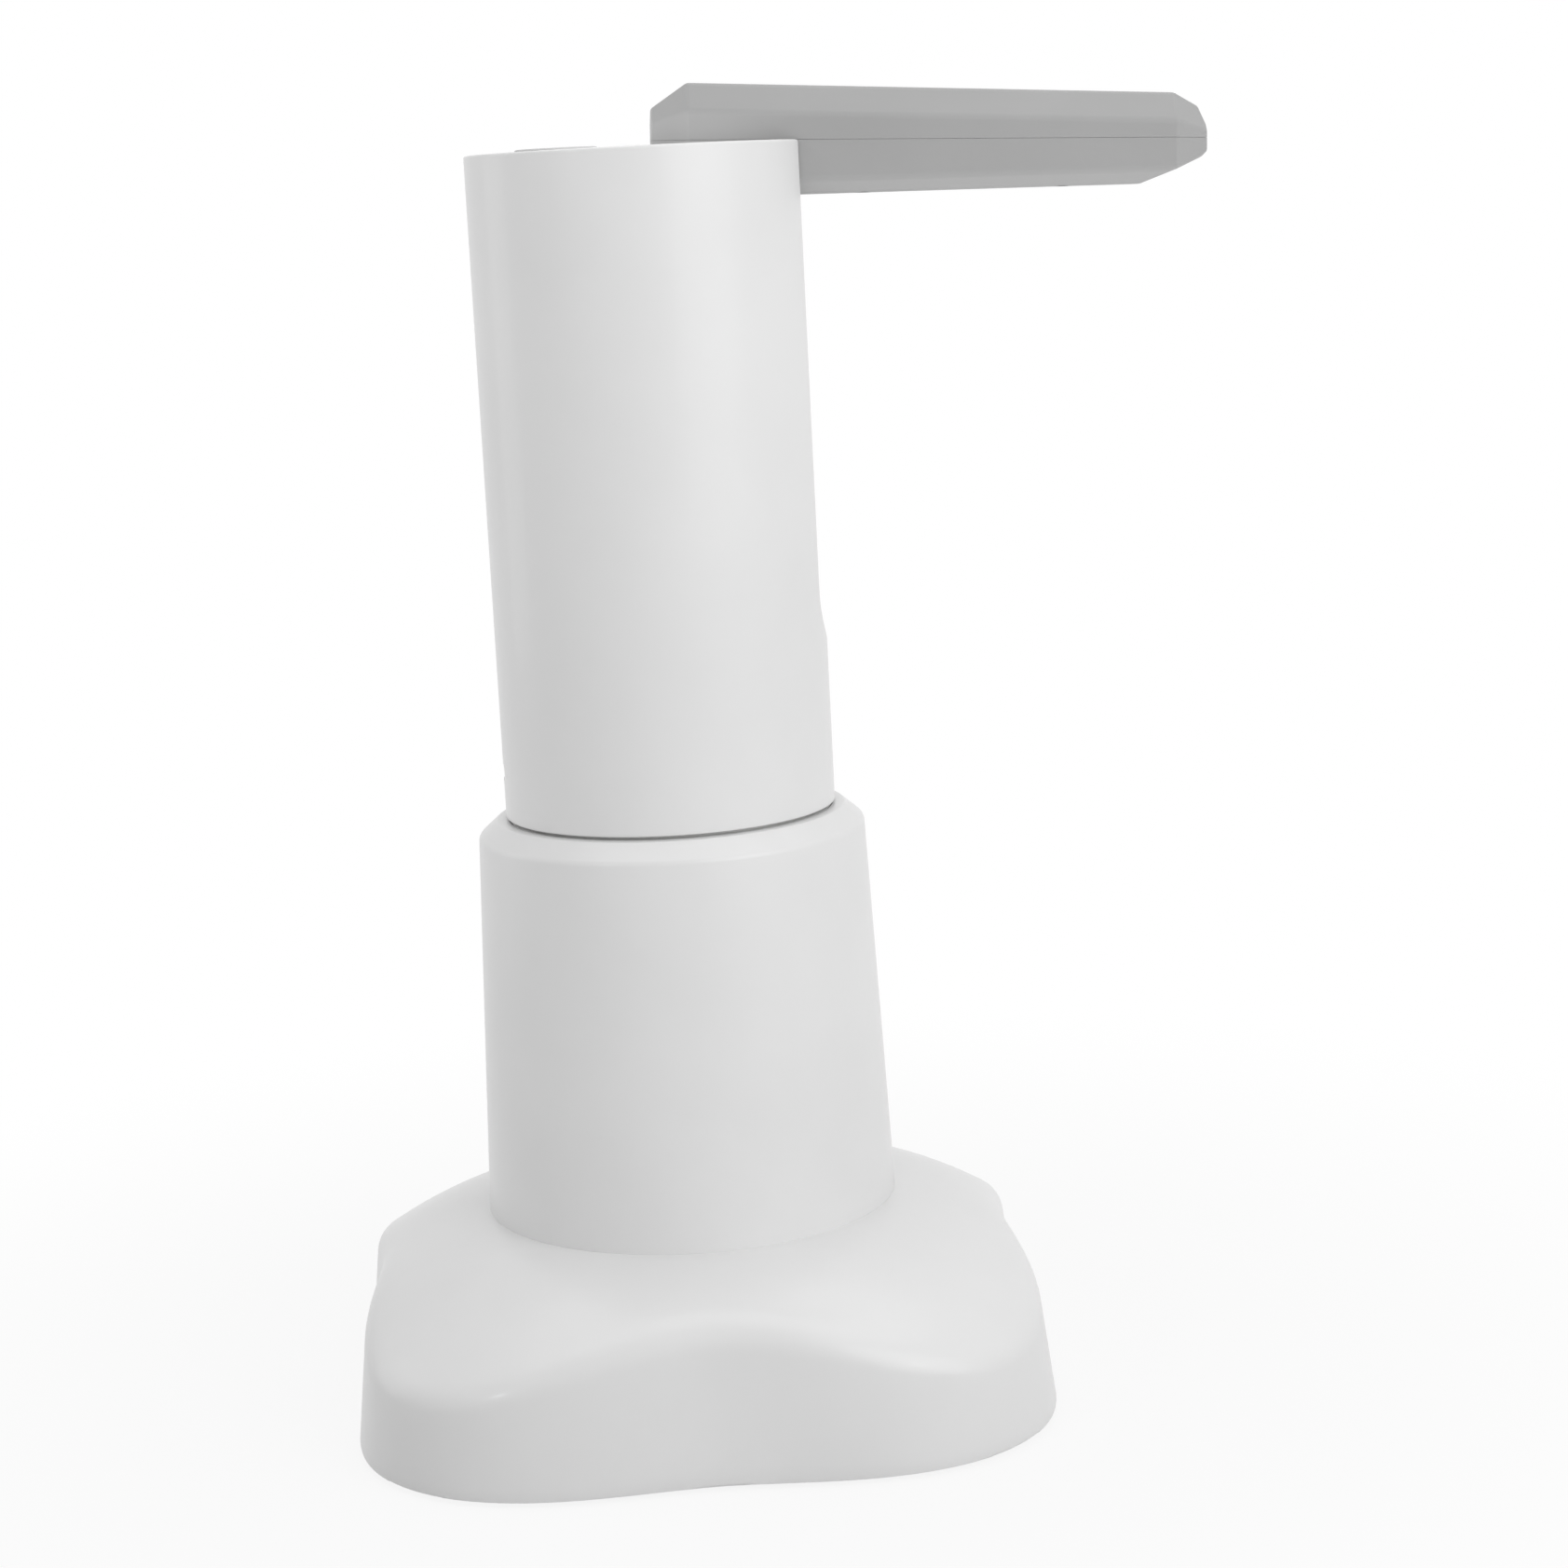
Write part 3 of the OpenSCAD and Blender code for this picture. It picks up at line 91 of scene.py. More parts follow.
# Sizes that the box of a node doesn't give
HEAD_WALL = 2.4 * MM
COVER_T = 2.5 * MM
SLEEVE_SHOULDER_R = 44 * MM
SLEEVE_BEVEL_H = 3.8 * MM
SLEEVE_WALL = 2.6 * MM
SPIGOT_R = HEAD_R - 4 * MM
SOCKET_R = SPIGOT_R + 0.4 * MM
SPOUT_BACK = 18.3 * MM
SPOUT_LEN = 123.4 * MM
SPOUT_W = 23.4 * MM
SPOUT_BACK_T = 12.4 * MM
SPOUT_TIP_T = 9.85 * MM
SPOUT_END = 7.8 * MM
SPOUT_TIP_END = SPOUT_END + 0.2 * MM
SPOUT_SKIN = 1.1 * MM
SPOUT_DROOP = math.radians(2.45)
SPOUT_TIP = SPOUT_LEN - SPOUT_BACK
SLOPE_U = SPOUT_TIP - 15.9 * MM
CHIN_U, CHIN_W = SPOUT_TIP - 1.8 * MM, -4.2 * MM
PART_RISE = 4 * MM
PARTING_GAP = 0.06 * MM
SLOT_HALF = SPOUT_W / 2 + 0.6 * MM
SLOT_END_Z = HINGE.z - SPOUT_TIP - 2.5 * MM
LINER_WALL = 1.6 * MM
CHEEK = 3 * MM
HOSE_R = 3.5 * MM
INLET_Z = middle("water_inlet").z
POCKET_R = 10 * MM
NIPPLE_REACH = 14.5 * MM
POCKET_FLOOR_X = low("water_inlet").x + NIPPLE_REACH
BUTTON_R = 9.2 * MM
NOZZLE_R = 5.4 * MM
FOOT_W = 6 * MM
PLATE_EYE_R = 5 * MM
PLATE_HEAD_R, PLATE_HEAD_H = 2.9 * MM, 1.8 * MM
ARM_HEAD_R, ARM_HEAD_H = 2 * MM, 1.2 * MM

# Base outline: a rounded square with drawn-in sides
BASE_MID = 76.7 * MM
BASE_WAIST = 9.6 * MM
BASE_SQUARE = 2.57
BASE_DRAFT = math.tan(math.radians(7.1))
BASE_FALL = 0.122
BASE_CROWN = 0.009 / MM
BASE_ROUND = 3.2 * MM
BASE_SOFT = 5.5 * MM
BASE_WALL = 3 * MM
LAND_R = SLEEVE_FOOT_R + 0.6 * MM
BASE_HOLE_R = SLEEVE_FOOT_R - 9.2 * MM


def start_fresh():
    """Leave edit mode with nothing selected."""
    if bpy.context.object and bpy.context.object.mode != "OBJECT":
        bpy.ops.object.mode_set(mode="OBJECT")
    bpy.ops.object.select_all(action="DESELECT")


def pick(*pieces):
    start_fresh()
    for piece in pieces:
        piece.select_set(True)
    bpy.context.view_layer.objects.active = pieces[0]


def new_piece(name):
    """Name the primitive that was just added."""
    piece = bpy.context.object
    piece.name = name
    piece.data.name = name
    return piece


def apply_modifier(piece, kind, **settings):
    pick(piece)
    bpy.ops.object.modifier_add(type=kind)
    modifier = piece.modifiers[-1]
    for key, value in settings.items():
        setattr(modifier, key, value)
    bpy.ops.object.modifier_apply(modifier=modifier.name)


def settle(piece):
    """Put the piece's place into its mesh."""
    pick(piece)
    bpy.ops.object.transform_apply(location=True, rotation=True, scale=True)


def join(name, *pieces):
    pick(*pieces)
    bpy.ops.object.join()
    return new_piece(name)


def copy_of(piece, name):
    """A copy with its own mesh."""
    pick(piece)
    bpy.ops.object.duplicate()
    return new_piece(name)


def smooth(piece, degrees=35):
    pick(piece)
    bpy.ops.object.shade_smooth_by_angle(angle=math.radians(degrees))


def carve(piece, cutter, operation="DIFFERENCE"):
    """Work the cutter into the piece, then throw the cutter away."""
    apply_modifier(piece, "BOOLEAN", object=cutter, operation=operation, solver="EXACT")
    bpy.data.objects.remove(cutter)


def soften(piece, width, segments=3, degrees=40):
    """Round off the edges that turn by more than an angle."""
    apply_modifier(
        piece, "BEVEL", width=width, segments=segments,
        limit_method="ANGLE", angle_limit=math.radians(degrees),
    )


def block(name, corner, far_corner):
    """A box between two corners."""
    corner, far_corner = Vector(corner), Vector(far_corner)
    start_fresh()
    bpy.ops.mesh.primitive_cube_add(size=1, location=(corner + far_corner) / 2)
    piece = new_piece(name)
    piece.scale = far_corner - corner
    settle(piece)
    return piece


def rod(name, start, end, radius, vertices=48):
    """A round bar between two points."""
    start, end = Vector(start), Vector(end)
    start_fresh()
    bpy.ops.mesh.primitive_cylinder_add(
        vertices=vertices, radius=radius, depth=(end - start).length, location=(start + end) / 2,
        rotation=(end - start).to_track_quat("Z", "Y").to_euler(),
    )
    piece = new_piece(name)
    settle(piece)
    return piece


def rounded(corners, radii, steps=6):
    """The outline through the corners, each eased over its own length."""
    out = []
    count = len(corners)
    for i, (corner, radius) in enumerate(zip(corners, radii)):
        here = Vector(corner)
        if radius == 0:
            out.append(here)
            continue
        before = Vector(corners[i - 1]) - here
        after = Vector(corners[(i + 1) % count]) - here
        a = here + before.normalized() * radius
        c = here + after.normalized() * radius
        for k in range(steps + 1):
            t = k / steps
            out.append(a * (1 - t) ** 2 + here * 2 * t * (1 - t) + c * t ** 2)
    return out


def turned(name, outline, steps=160):
    """A round piece: one point is drawn along a closed outline of (radius, height), then spun."""
    start_fresh()
    bpy.ops.mesh.primitive_plane_add(size=MM)
    piece = new_piece(name)
    bpy.ops.object.mode_set(mode="EDIT")
    bpy.ops.mesh.merge(type="CENTER")
    bpy.ops.transform.translate(value=(outline[0][0], 0, outline[0][1]))
    for here, there in zip(outline, outline[1:] + outline[:1]):
        bpy.ops.mesh.extrude_vertices_move(
            TRANSFORM_OT_translate={"value": (there[0] - here[0], 0, there[1] - here[1])}
        )
    bpy.ops.mesh.select_all(action="SELECT")
    bpy.ops.mesh.remove_doubles(threshold=0.0005 * MM)
    bpy.ops.mesh.spin(steps=steps, angle=math.tau, center=(0, 0, 0), axis=(0, 0, 1))
    bpy.ops.mesh.select_all(action="SELECT")
    bpy.ops.mesh.remove_doubles(threshold=0.0005 * MM)
    bpy.ops.mesh.normals_make_consistent(inside=False)
    bpy.ops.object.mode_set(mode="OBJECT")
    return piece


def move(piece, place):
    """Set a finished mesh at its place in the frame."""
    piece.matrix_world = place
    settle(piece)


# Finishes


def surface(name):
    material = bpy.data.materials.new(name)
    material.use_nodes = True
    nodes, links = material.node_tree.nodes, material.node_tree.links
    return material, nodes, links, nodes["Principled BSDF"]


def noise(nodes, links, scale, detail, stretch=(1, 1, 1)):
    """Noise on the piece's own coordinates."""
    place = nodes.new("ShaderNodeTexCoord")
    mapping = nodes.new("ShaderNodeMapping")
    mapping.inputs["Scale"].default_value = stretch
    texture = nodes.new("ShaderNodeTexNoise")
    texture.inputs["Scale"].default_value = scale
    texture.inputs["Detail"].default_value = detail
    links.new(place.outputs["Object"], mapping.inputs["Vector"])
    links.new(mapping.outputs["Vector"], texture.inputs["Vector"])
    return texture.outputs["Fac"]


def tint(nodes, links, value, dark, light, target, start=0.35, end=0.65):
    """Colour between two tones by a value."""
    ramp = nodes.new("ShaderNodeValToRGB")
    ramp.color_ramp.elements[0].position = start
    ramp.color_ramp.elements[0].color = (*dark, 1)
    ramp.color_ramp.elements[1].position = end
    ramp.color_ramp.elements[1].color = (*light, 1)
    links.new(value, ramp.inputs["Fac"])
    links.new(ramp.outputs["Color"], target)


def gloss_range(nodes, links, value, least, most, target):
    spread = nodes.new("ShaderNodeMapRange")
    spread.inputs["To Min"].default_value = least
    spread.inputs["To Max"].default_value = most
    links.new(value, spread.inputs["Value"])
    links.new(spread.outputs["Result"], target)


def relief(nodes, links, value, strength, depth, target):
    bump = nodes.new("ShaderNodeBump")
    bump.inputs["Strength"].default_value = strength
    bump.inputs["Distance"].default_value = depth
    links.new(value, bump.inputs["Height"])
    links.new(bump.outputs["Normal"], target)


def moulded(name, light, dark, rough, grain=1500, strength=0.03, polish=0, shine=0.5):
    """Moulded plastic with a fine grain, a slow drift of tone and uneven gloss.

    polish is the weight of a clear coat, and shine the level of the plain reflection.
    """
    material, nodes, links, shader = surface(name)
    shader.inputs["Specular IOR Level"].default_value = shine
    shader.inputs["Coat Weight"].default_value = polish
    shader.inputs["Coat Roughness"].default_value = 0.14
    tint(nodes, links, noise(nodes, links, 24, 3), dark, light, shader.inputs["Base Color"])
    fine = noise(nodes, links, grain, 2)
    gloss_range(nodes, links, fine, rough - 0.06, rough + 0.06, shader.inputs["Roughness"])
    relief(nodes, links, fine, strength, 0.2 * MM, shader.inputs["Normal"])
    return material


def rubber(name, light, dark):
    """Soft rubber: dull, with a pebbled skin and paler scuffs."""
    material, nodes, links, shader = surface(name)
    shader.inputs["Specular IOR Level"].default_value = 0.3
    tint(nodes, links, noise(nodes, links, 160, 6), dark, light, shader.inputs["Base Color"], 0.4, 0.75)
    skin = noise(nodes, links, 900, 3)
    gloss_range(nodes, links, skin, 0.7, 0.9, shader.inputs["Roughness"])
    relief(nodes, links, skin, 0.15, 0.2 * MM, shader.inputs["Normal"])
    return material


def metal(name, light, dark, rough, stretch):
    """Worked metal: fine lines along one direction, in tone, gloss and relief."""
    material, nodes, links, shader = surface(name)
    shader.inputs["Metallic"].default_value = 1
    lines = noise(nodes, links, 600, 4, stretch)
    tint(nodes, links, lines, dark, light, shader.inputs["Base Color"], 0.3, 0.7)
    gloss_range(nodes, links, lines, rough - 0.08, rough + 0.1, shader.inputs["Roughness"])
    relief(nodes, links, lines, 0.08, 0.05 * MM, shader.inputs["Normal"])
    return material


def hose_skin(name, light, dark):
    """Milky silicone: cloudy tone with a faint bloom on the surface."""
    material, nodes, links, shader = surface(name)
    shader.inputs["Sheen Weight"].default_value = 0.2
    tint(nodes, links, noise(nodes, links, 90, 4), dark, light, shader.inputs["Base Color"])
    bloom = noise(nodes, links, 500, 3)
    gloss_range(nodes, links, bloom, 0.35, 0.55, shader.inputs["Roughness"])
    relief(nodes, links, bloom, 0.05, 0.1 * MM, shader.inputs["Normal"])
    return material


def circuit(name):
    """Solder mask over copper: darker fields between brighter tracks."""
    material, nodes, links, shader = surface(name)
    place = nodes.new("ShaderNodeTexCoord")
    turn = nodes.new("ShaderNodeMapping")
    turn.inputs["Rotation"].default_value = (0, math.pi / 2, 0)
    tracks = nodes.new("ShaderNodeTexBrick")
    tracks.inputs["Scale"].default_value = 420
    tracks.inputs["Mortar Size"].default_value = 0.05
    tracks.inputs["Color1"].default_value = (0.02, 0.15, 0.07, 1)
    tracks.inputs["Color2"].default_value = (0.03, 0.19, 0.09, 1)
    tracks.inputs["Mortar"].default_value = (0.06, 0.32, 0.15, 1)
    links.new(place.outputs["Object"], turn.inputs["Vector"])
    links.new(turn.outputs["Vector"], tracks.inputs["Vector"])
    links.new(tracks.outputs["Color"], shader.inputs["Base Color"])
    gloss_range(nodes, links, tracks.outputs["Fac"], 0.25, 0.4, shader.inputs["Roughness"])
    relief(nodes, links, tracks.outputs["Fac"], 0.1, 0.05 * MM, shader.inputs["Normal"])
    return material


FINISHES = {
    "shell_white": moulded("white_shell", (0.8, 0.8, 0.8), (0.775, 0.775, 0.775), 0.42, polish=0.25),
    "spout_grey": moulded("grey_spout", (0.405, 0.405, 0.405), (0.385, 0.385, 0.385), 0.5, shine=0.2),
    "cradle_grey": moulded("grey_liner", (0.34, 0.34, 0.34), (0.32, 0.32, 0.32), 0.48),
    "button_grey": moulded("pale_button", (0.62, 0.62, 0.62), (0.59, 0.59, 0.59), 0.42),
    "nozzle_grey": moulded("dark_nozzle", (0.24, 0.24, 0.24), (0.21, 0.21, 0.21), 0.45),
    "inner_plastic": moulded("works_plastic", (0.45, 0.45, 0.45), (0.41, 0.41, 0.41), 0.5),
    "fitting_plastic": moulded("black_fitting", (0.055, 0.055, 0.06), (0.04, 0.04, 0.044), 0.42),
    "glide_white": moulded("slippery_white", (0.76, 0.76, 0.75), (0.73, 0.73, 0.72), 0.32),
    "foot_rubber": rubber("foot_rubber_skin", (0.07, 0.07, 0.07), (0.04, 0.04, 0.04)),
    "seal_rubber": rubber("seal_rubber_skin", (0.05, 0.05, 0.05), (0.025, 0.025, 0.025)),
    "hose_silicone": hose_skin("milky_silicone", (0.78, 0.79, 0.79), (0.7, 0.72, 0.72)),
    "screw_steel": metal("screw_steel_face", (0.6, 0.61, 0.63), (0.48, 0.49, 0.51), 0.34, (1, 1, 0.2)),
    "pin_steel": metal("ground_steel", (0.66, 0.67, 0.69), (0.56, 0.57, 0.59), 0.26, (1, 0.1, 1)),
    "motor_steel": metal("rolled_steel", (0.6, 0.61, 0.63), (0.5, 0.51, 0.53), 0.38, (1, 1, 0.05)),
    "port_steel": metal("stamped_steel", (0.66, 0.67, 0.69), (0.55, 0.56, 0.58), 0.3, (0.1, 1, 1)),
    "gear_brass": metal("cut_brass", (0.8, 0.62, 0.3), (0.66, 0.49, 0.2), 0.3, (1, 1, 0.1)),
    "cell_wrap": moulded("blue_wrap", (0.13, 0.26, 0.45), (0.1, 0.21, 0.38), 0.25, 700, 0.06),
    "board_green": circuit("green_board"),
}


def dress(piece, body, slot_name, *nodes):
    """Finish a piece: its material, the body it rides on, if one, and the CAD nodes it stands for."""
    piece.data.materials.clear()
    piece.data.materials.append(FINISHES[slot_name])
    if body:
        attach(piece, body)
    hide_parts(*nodes)


# Stand


def base_radius(angle):
    c, s = abs(math.cos(angle)), abs(math.sin(angle))
    square = (c ** BASE_SQUARE + s ** BASE_SQUARE) ** (1 / BASE_SQUARE)
    return (BASE_MID + BASE_WAIST) / square - BASE_WAIST * math.cos(2 * angle) ** 2


def crown_height(reach):
    """Height of the base's top at a distance outside the sleeve's land."""
    return SEAT_Z - BASE_FALL * reach - BASE_CROWN * reach * reach


def base_section(angle, skin, round_steps=10, crown_steps=12):
    """Points (radius, height) from the wall, over the brow and across the crowned top to the sleeve."""
    wall = base_radius(angle) - skin
    b = BASE_FALL - 1 / BASE_DRAFT
    c = BASE_Z - SEAT_Z + skin + (wall - LAND_R) / BASE_DRAFT
    reach = (-b - math.sqrt(b * b - 4 * BASE_CROWN * c)) / (2 * BASE_CROWN)
    ease = BASE_ROUND + (BASE_SOFT - BASE_ROUND) * math.cos(2 * angle) ** 2 - 0.4 * skin
    brow = Vector((LAND_R + reach, crown_height(reach) - skin))
    foot = brow + Vector((BASE_DRAFT * ease, -ease))
    top = Vector((LAND_R + reach - ease, crown_height(reach - ease) - skin))
    points = []
    for k in range(round_steps + 1):
        t = k / round_steps
        points.append(foot * (1 - t) ** 2 + brow * 2 * t * (1 - t) + top * t ** 2)
    for k in range(1, crown_steps + 1):
        r = (reach - ease) * (1 - k / crown_steps)
        points.append(Vector((LAND_R + r, crown_height(r) - skin)))
    return points


def base_shell_section(angle):
    """All points of one section of the base, round its outside and back along its inside."""
    lip = 0.8 * MM
    wall = base_radius(angle)
    outside = [
        Vector((wall - BASE_WALL, BASE_Z)),
        Vector((wall - lip, BASE_Z)),
        Vector((wall - 0.25 * lip, BASE_Z + 0.25 * lip)),
        Vector((wall - BASE_DRAFT * lip, BASE_Z + lip)),
    ]
    foot = outside[-1]
    section = base_section(angle, 0)
    outside += [foot.lerp(section[0], k / 8) for k in range(1, 8)] + section
    outside.append(Vector((BASE_HOLE_R, SEAT_Z)))
    inside = [Vector((BASE_HOLE_R, SEAT_Z - BASE_WALL))] + base_section(angle, BASE_WALL, 4, 5)[::-1]
    return outside + inside


def base_plate_section(angle):
    """The closing plate, from its middle hole round its edge; the hole is filled afterwards."""
    edge = base_radius(angle) - BASE_WALL - 0.8 * MM
    soft = 0.5 * MM
    bottom, top = low("base_plate").z, high("base_plate").z
    return [
        Vector((PLATE_EYE_R, bottom)), Vector((edge - soft, bottom)),
        Vector((edge - 0.3 * soft, bottom + 0.3 * soft)), Vector((edge, bottom + soft)),
        Vector((edge, top)), Vector((PLATE_EYE_R, top)),
    ]


def lofted(name, section, sides=216):
    """A ring is drawn round the middle, extruded along the points of the sections, then closed."""
    start_fresh()
    bpy.ops.mesh.primitive_circle_add(vertices=sides, radius=BASE_MID, fill_type="NOTHING")
    piece = new_piece(name)
    angles = [math.atan2(v.co.y, v.co.x) for v in piece.data.vertices]
    plans = [section(a) for a in angles]
    bpy.ops.object.mode_set(mode="EDIT")
    bpy.ops.mesh.select_all(action="SELECT")
    for ring in range(len(plans[0])):
        if ring:
            bpy.ops.mesh.extrude_region()
        work = bmesh.from_edit_mesh(piece.data)
        work.verts.ensure_lookup_table()
        for k in range(sides):
            radius, height = plans[k][ring]
            work.verts[ring * sides + k].co = (
                radius * math.cos(angles[k]), radius * math.sin(angles[k]), height
            )
        bmesh.update_edit_mesh(piece.data)
    work = bmesh.from_edit_mesh(piece.data)
    for face in work.faces:
        face.select = False
    for edge in work.edges:
        edge.select = edge.is_boundary
    bmesh.update_edit_mesh(piece.data)
    bpy.ops.mesh.bridge_edge_loops()
    bpy.ops.mesh.select_all(action="SELECT")
    bpy.ops.mesh.normals_make_consistent(inside=False)
    bpy.ops.object.mode_set(mode="OBJECT")
    return piece


def stand_base():
    """The soft square base, with the hose pocket sunk into its back."""
    piece = lofted("stand_base", base_shell_section)
    inner_x, outer_x = POCKET_FLOOR_X + BASE_WALL, -BASE_MID
    cup = rod("pocket_cup", (inner_x, 0, INLET_Z), (outer_x, 0, INLET_Z), POCKET_R + BASE_WALL, 96)
    for vert in cup.data.vertices:
        if vert.co.x < (inner_x + outer_x) / 2:
            outline = base_radius(math.atan2(vert.co.y, outer_x))
            wall = outline - BASE_DRAFT * (vert.co.z - BASE_Z) - BASE_WALL / 2
            vert.co.x = -math.sqrt(wall * wall - vert.co.y * vert.co.y)
    carve(piece, cup, "UNION")
    far_x = -BASE_MID - 5 * MM
    carve(piece, rod("pocket_space", (POCKET_FLOOR_X, 0, INLET_Z), (far_x, 0, INLET_Z), POCKET_R, 96))
    soften(piece, 0.4 * MM, degrees=62)
    smooth(piece, 40)
    dress(piece, "stand", "shell_white", "base_shell")


def stand_sleeve():
    """The tapered sleeve with its bevelled rim and the socket for the head."""
    rim_r, seat_r = HEAD_R + 2.1 * MM, RING_R + 0.3 * MM
    edge_z = SLEEVE_TOP - SLEEVE_BEVEL_H
    collar_r, collar_z = SLEEVE_SHOULDER_R - 5 * MM, SLEEVE_TOP - 18 * MM
    step_z, wall_z, foot_z = edge_z - 6 * MM, edge_z - 3 * MM, SEAT_Z + 5 * MM
    corners = [
        (BASE_HOLE_R, SEAT_Z), (SLEEVE_FOOT_R, SEAT_Z), (SLEEVE_SHOULDER_R, edge_z),
        (rim_r, SLEEVE_TOP), (seat_r, SLEEVE_TOP), (seat_r, RING_Z), (SOCKET_R, RING_Z),
        (SOCKET_R, collar_z), (collar_r, collar_z), (collar_r, step_z),
        (SLEEVE_SHOULDER_R - SLEEVE_WALL, wall_z), (SLEEVE_FOOT_R - SLEEVE_WALL, foot_z),
        (BASE_HOLE_R, foot_z),
    ]
    shoulder_ease, rim_ease, seat_ease = 0.9 * MM, 0.25 * MM, 0.2 * MM
    ease = [0, 0, shoulder_ease, rim_ease, seat_ease] + [0] * 8
    piece = turned("stand_sleeve", rounded(corners, ease))
    smooth(piece, 25)
    dress(piece, "stand", "shell_white", "sleeve")


def plate_screw_spots():
    """Where the heads of the plate's screws sit."""
    reach = BASE_MID - 4 * MM
    return [
        Vector((reach * math.cos(a), reach * math.sin(a), low("base_screws").z))
        for a in (math.pi / 4 + k * math.pi / 2 for k in range(4))
    ]


def under_plate():
    """The plate that closes the base, with a groove for the foot and wells for its screws."""
    piece = lofted("under_plate", base_plate_section)
    bpy.ops.object.mode_set(mode="EDIT")
    work = bmesh.from_edit_mesh(piece.data)
    eye_edge = PLATE_EYE_R + 0.2 * MM
    for face in work.faces:
        face.select = face.calc_center_median().to_2d().length < eye_edge
    bmesh.update_edit_mesh(piece.data)
    bpy.ops.mesh.delete(type="FACE")
    bpy.ops.mesh.select_all(action="SELECT")
    bpy.ops.mesh.fill_holes(sides=0)
    bpy.ops.mesh.normals_make_consistent(inside=False)
    bpy.ops.object.mode_set(mode="OBJECT")
    play, depth = 0.1 * MM, 0.6 * MM
    inner, outer = FOOT_R - FOOT_W - play, FOOT_R + play
    bottom = low("base_plate").z
    carve(piece, turned("foot_groove", [
        Vector((inner, bottom - MM)), Vector((outer, bottom - MM)),
        Vector((outer, bottom + depth)), Vector((inner, bottom + depth)),
    ]))
    below, above = Vector((0, 0, -MM)), Vector((0, 0, PLATE_HEAD_H + 0.1 * MM))
    for spot in plate_screw_spots():
        carve(piece, rod("screw_well", spot + below, spot + above, PLATE_HEAD_R + 0.2 * MM))
    smooth(piece, 30)
    dress(piece, "stand", "shell_white", "base_plate")


def cross_screw(name, head_r, head_h, shank_r, length):
    """A pan-head screw that points up, with a cross recess under its head."""
    corners = [
        (0, 0), (0.55 * head_r, 0), (head_r, 0.45 * head_h), (head_r, head_h), (shank_r, head_h),
        (shank_r, head_h + length - shank_r), (0.3 * shank_r, head_h + length), (0, head_h + length),
    ]
    ease = [0, 0.2 * head_r, 0.3 * head_h, 0, 0, 0, 0, 0]
    piece = turned(name, rounded(corners, ease, 4), 40)
    arm, half = 0.58 * head_r, 0.11 * head_r
    carve(piece, block("slot_a", (-arm, -half, -MM), (arm, half, 0.6 * head_h)))
    carve(piece, block("slot_b", (-half, -arm, -MM), (half, arm, 0.6 * head_h)))
    return piece


def screw_set(name, model, places):
    """Copies of one screw, joined into one piece."""
    copies = []
    for k, place in enumerate(places):
        copy = copy_of(model, f"{name}_{k}")
        move(copy, place)
        copies.append(copy)
    bpy.data.objects.remove(model)
    piece = join(name, *copies)
    smooth(piece, 35)
    return piece


def plate_screws():
    shank_r, length = 1.5 * MM, 12 * MM
    model = cross_screw("plate_screw", PLATE_HEAD_R, PLATE_HEAD_H, shank_r, length)
    turns = [0.3, 1.1, 0.7, 1.9]
    places = [
        Matrix.Translation(spot) @ Matrix.Rotation(turn, 4, "Z")
        for spot, turn in zip(plate_screw_spots(), turns)
    ]
    dress(screw_set("plate_screws", model, places), "stand", "screw_steel", "base_screws")


def rubber_foot():
    """A ring of rubber with a rounded tread."""
    inner, top, tread = FOOT_R - FOOT_W, high("foot_ring").z, 0.8 * MM
    corners = [(inner, 0), (FOOT_R, 0), (FOOT_R, top), (inner, top)]
    piece = turned("rubber_foot", rounded(corners, [tread, tread, 0, 0]), 144)
    smooth(piece, 40)
    dress(piece, "stand", "foot_rubber", "foot_ring")


def hose_nipple():
    """The ribbed nipple for the supply hose, its flange, and the shank that goes through the wall."""
    mouth_r, crest, valley, bore = 3.3 * MM, 4 * MM, 3.5 * MM, 2.2 * MM
    first_rib, rib_pitch, rib_land, rib_fall = 2.4 * MM, 3 * MM, 0.5 * MM, 0.8 * MM
    flange_r, flange_z = 8 * MM, 12.5 * MM
    shank_r, shank_end = 5 * MM, 22.5 * MM
    tail_r, tail_end = 3.15 * MM, 32.5 * MM
    corners, ease = [(bore, 0), (mouth_r, 0)], [0.3 * MM, 0.3 * MM]
    for rib in range(3):
        rise = first_rib + rib * rib_pitch
        corners += [(crest, rise), (crest, rise + rib_land), (valley, rise + rib_fall)]
        ease += [0.15 * MM, 0.15 * MM, 0.1 * MM]
    corners += [
        (valley, flange_z), (flange_r, flange_z), (flange_r, NIPPLE_REACH), (shank_r, NIPPLE_REACH),
        (shank_r, shank_end), (tail_r, shank_end), (tail_r, tail_end), (bore, tail_end),
    ]
    ease += [0.6 * MM, 0.5 * MM, 0.2 * MM, 0, 0.3 * MM, 0, 0.3 * MM, 0]
    piece = turned("hose_nipple", rounded(corners, ease, 4), 72)
    tip = Matrix.Translation((low("water_inlet").x, 0, INLET_Z))
    move(piece, tip @ Matrix.Rotation(math.pi / 2, 4, "Y"))
    smooth(piece, 30)
    dress(piece, "stand", "fitting_plastic", "water_inlet")


def turning_ring():
    """The slippery ring under the head, with a narrower track that the head turns on."""
    top = high("glide_ring").z
    track_r, step_z = RING_R - 1.2 * MM, SLEEVE_TOP - 0.1 * MM
    corners = [
        (SOCKET_R, RING_Z), (RING_R, RING_Z), (RING_R, step_z),
        (track_r, step_z), (track_r, top), (SOCKET_R, top),
    ]
    piece = turned("turning_ring", rounded(corners, [0.2 * MM] * 6, 4))
    smooth(piece, 40)
    dress(piece, "turntable", "glide_white", "glide_ring")


# Pump head


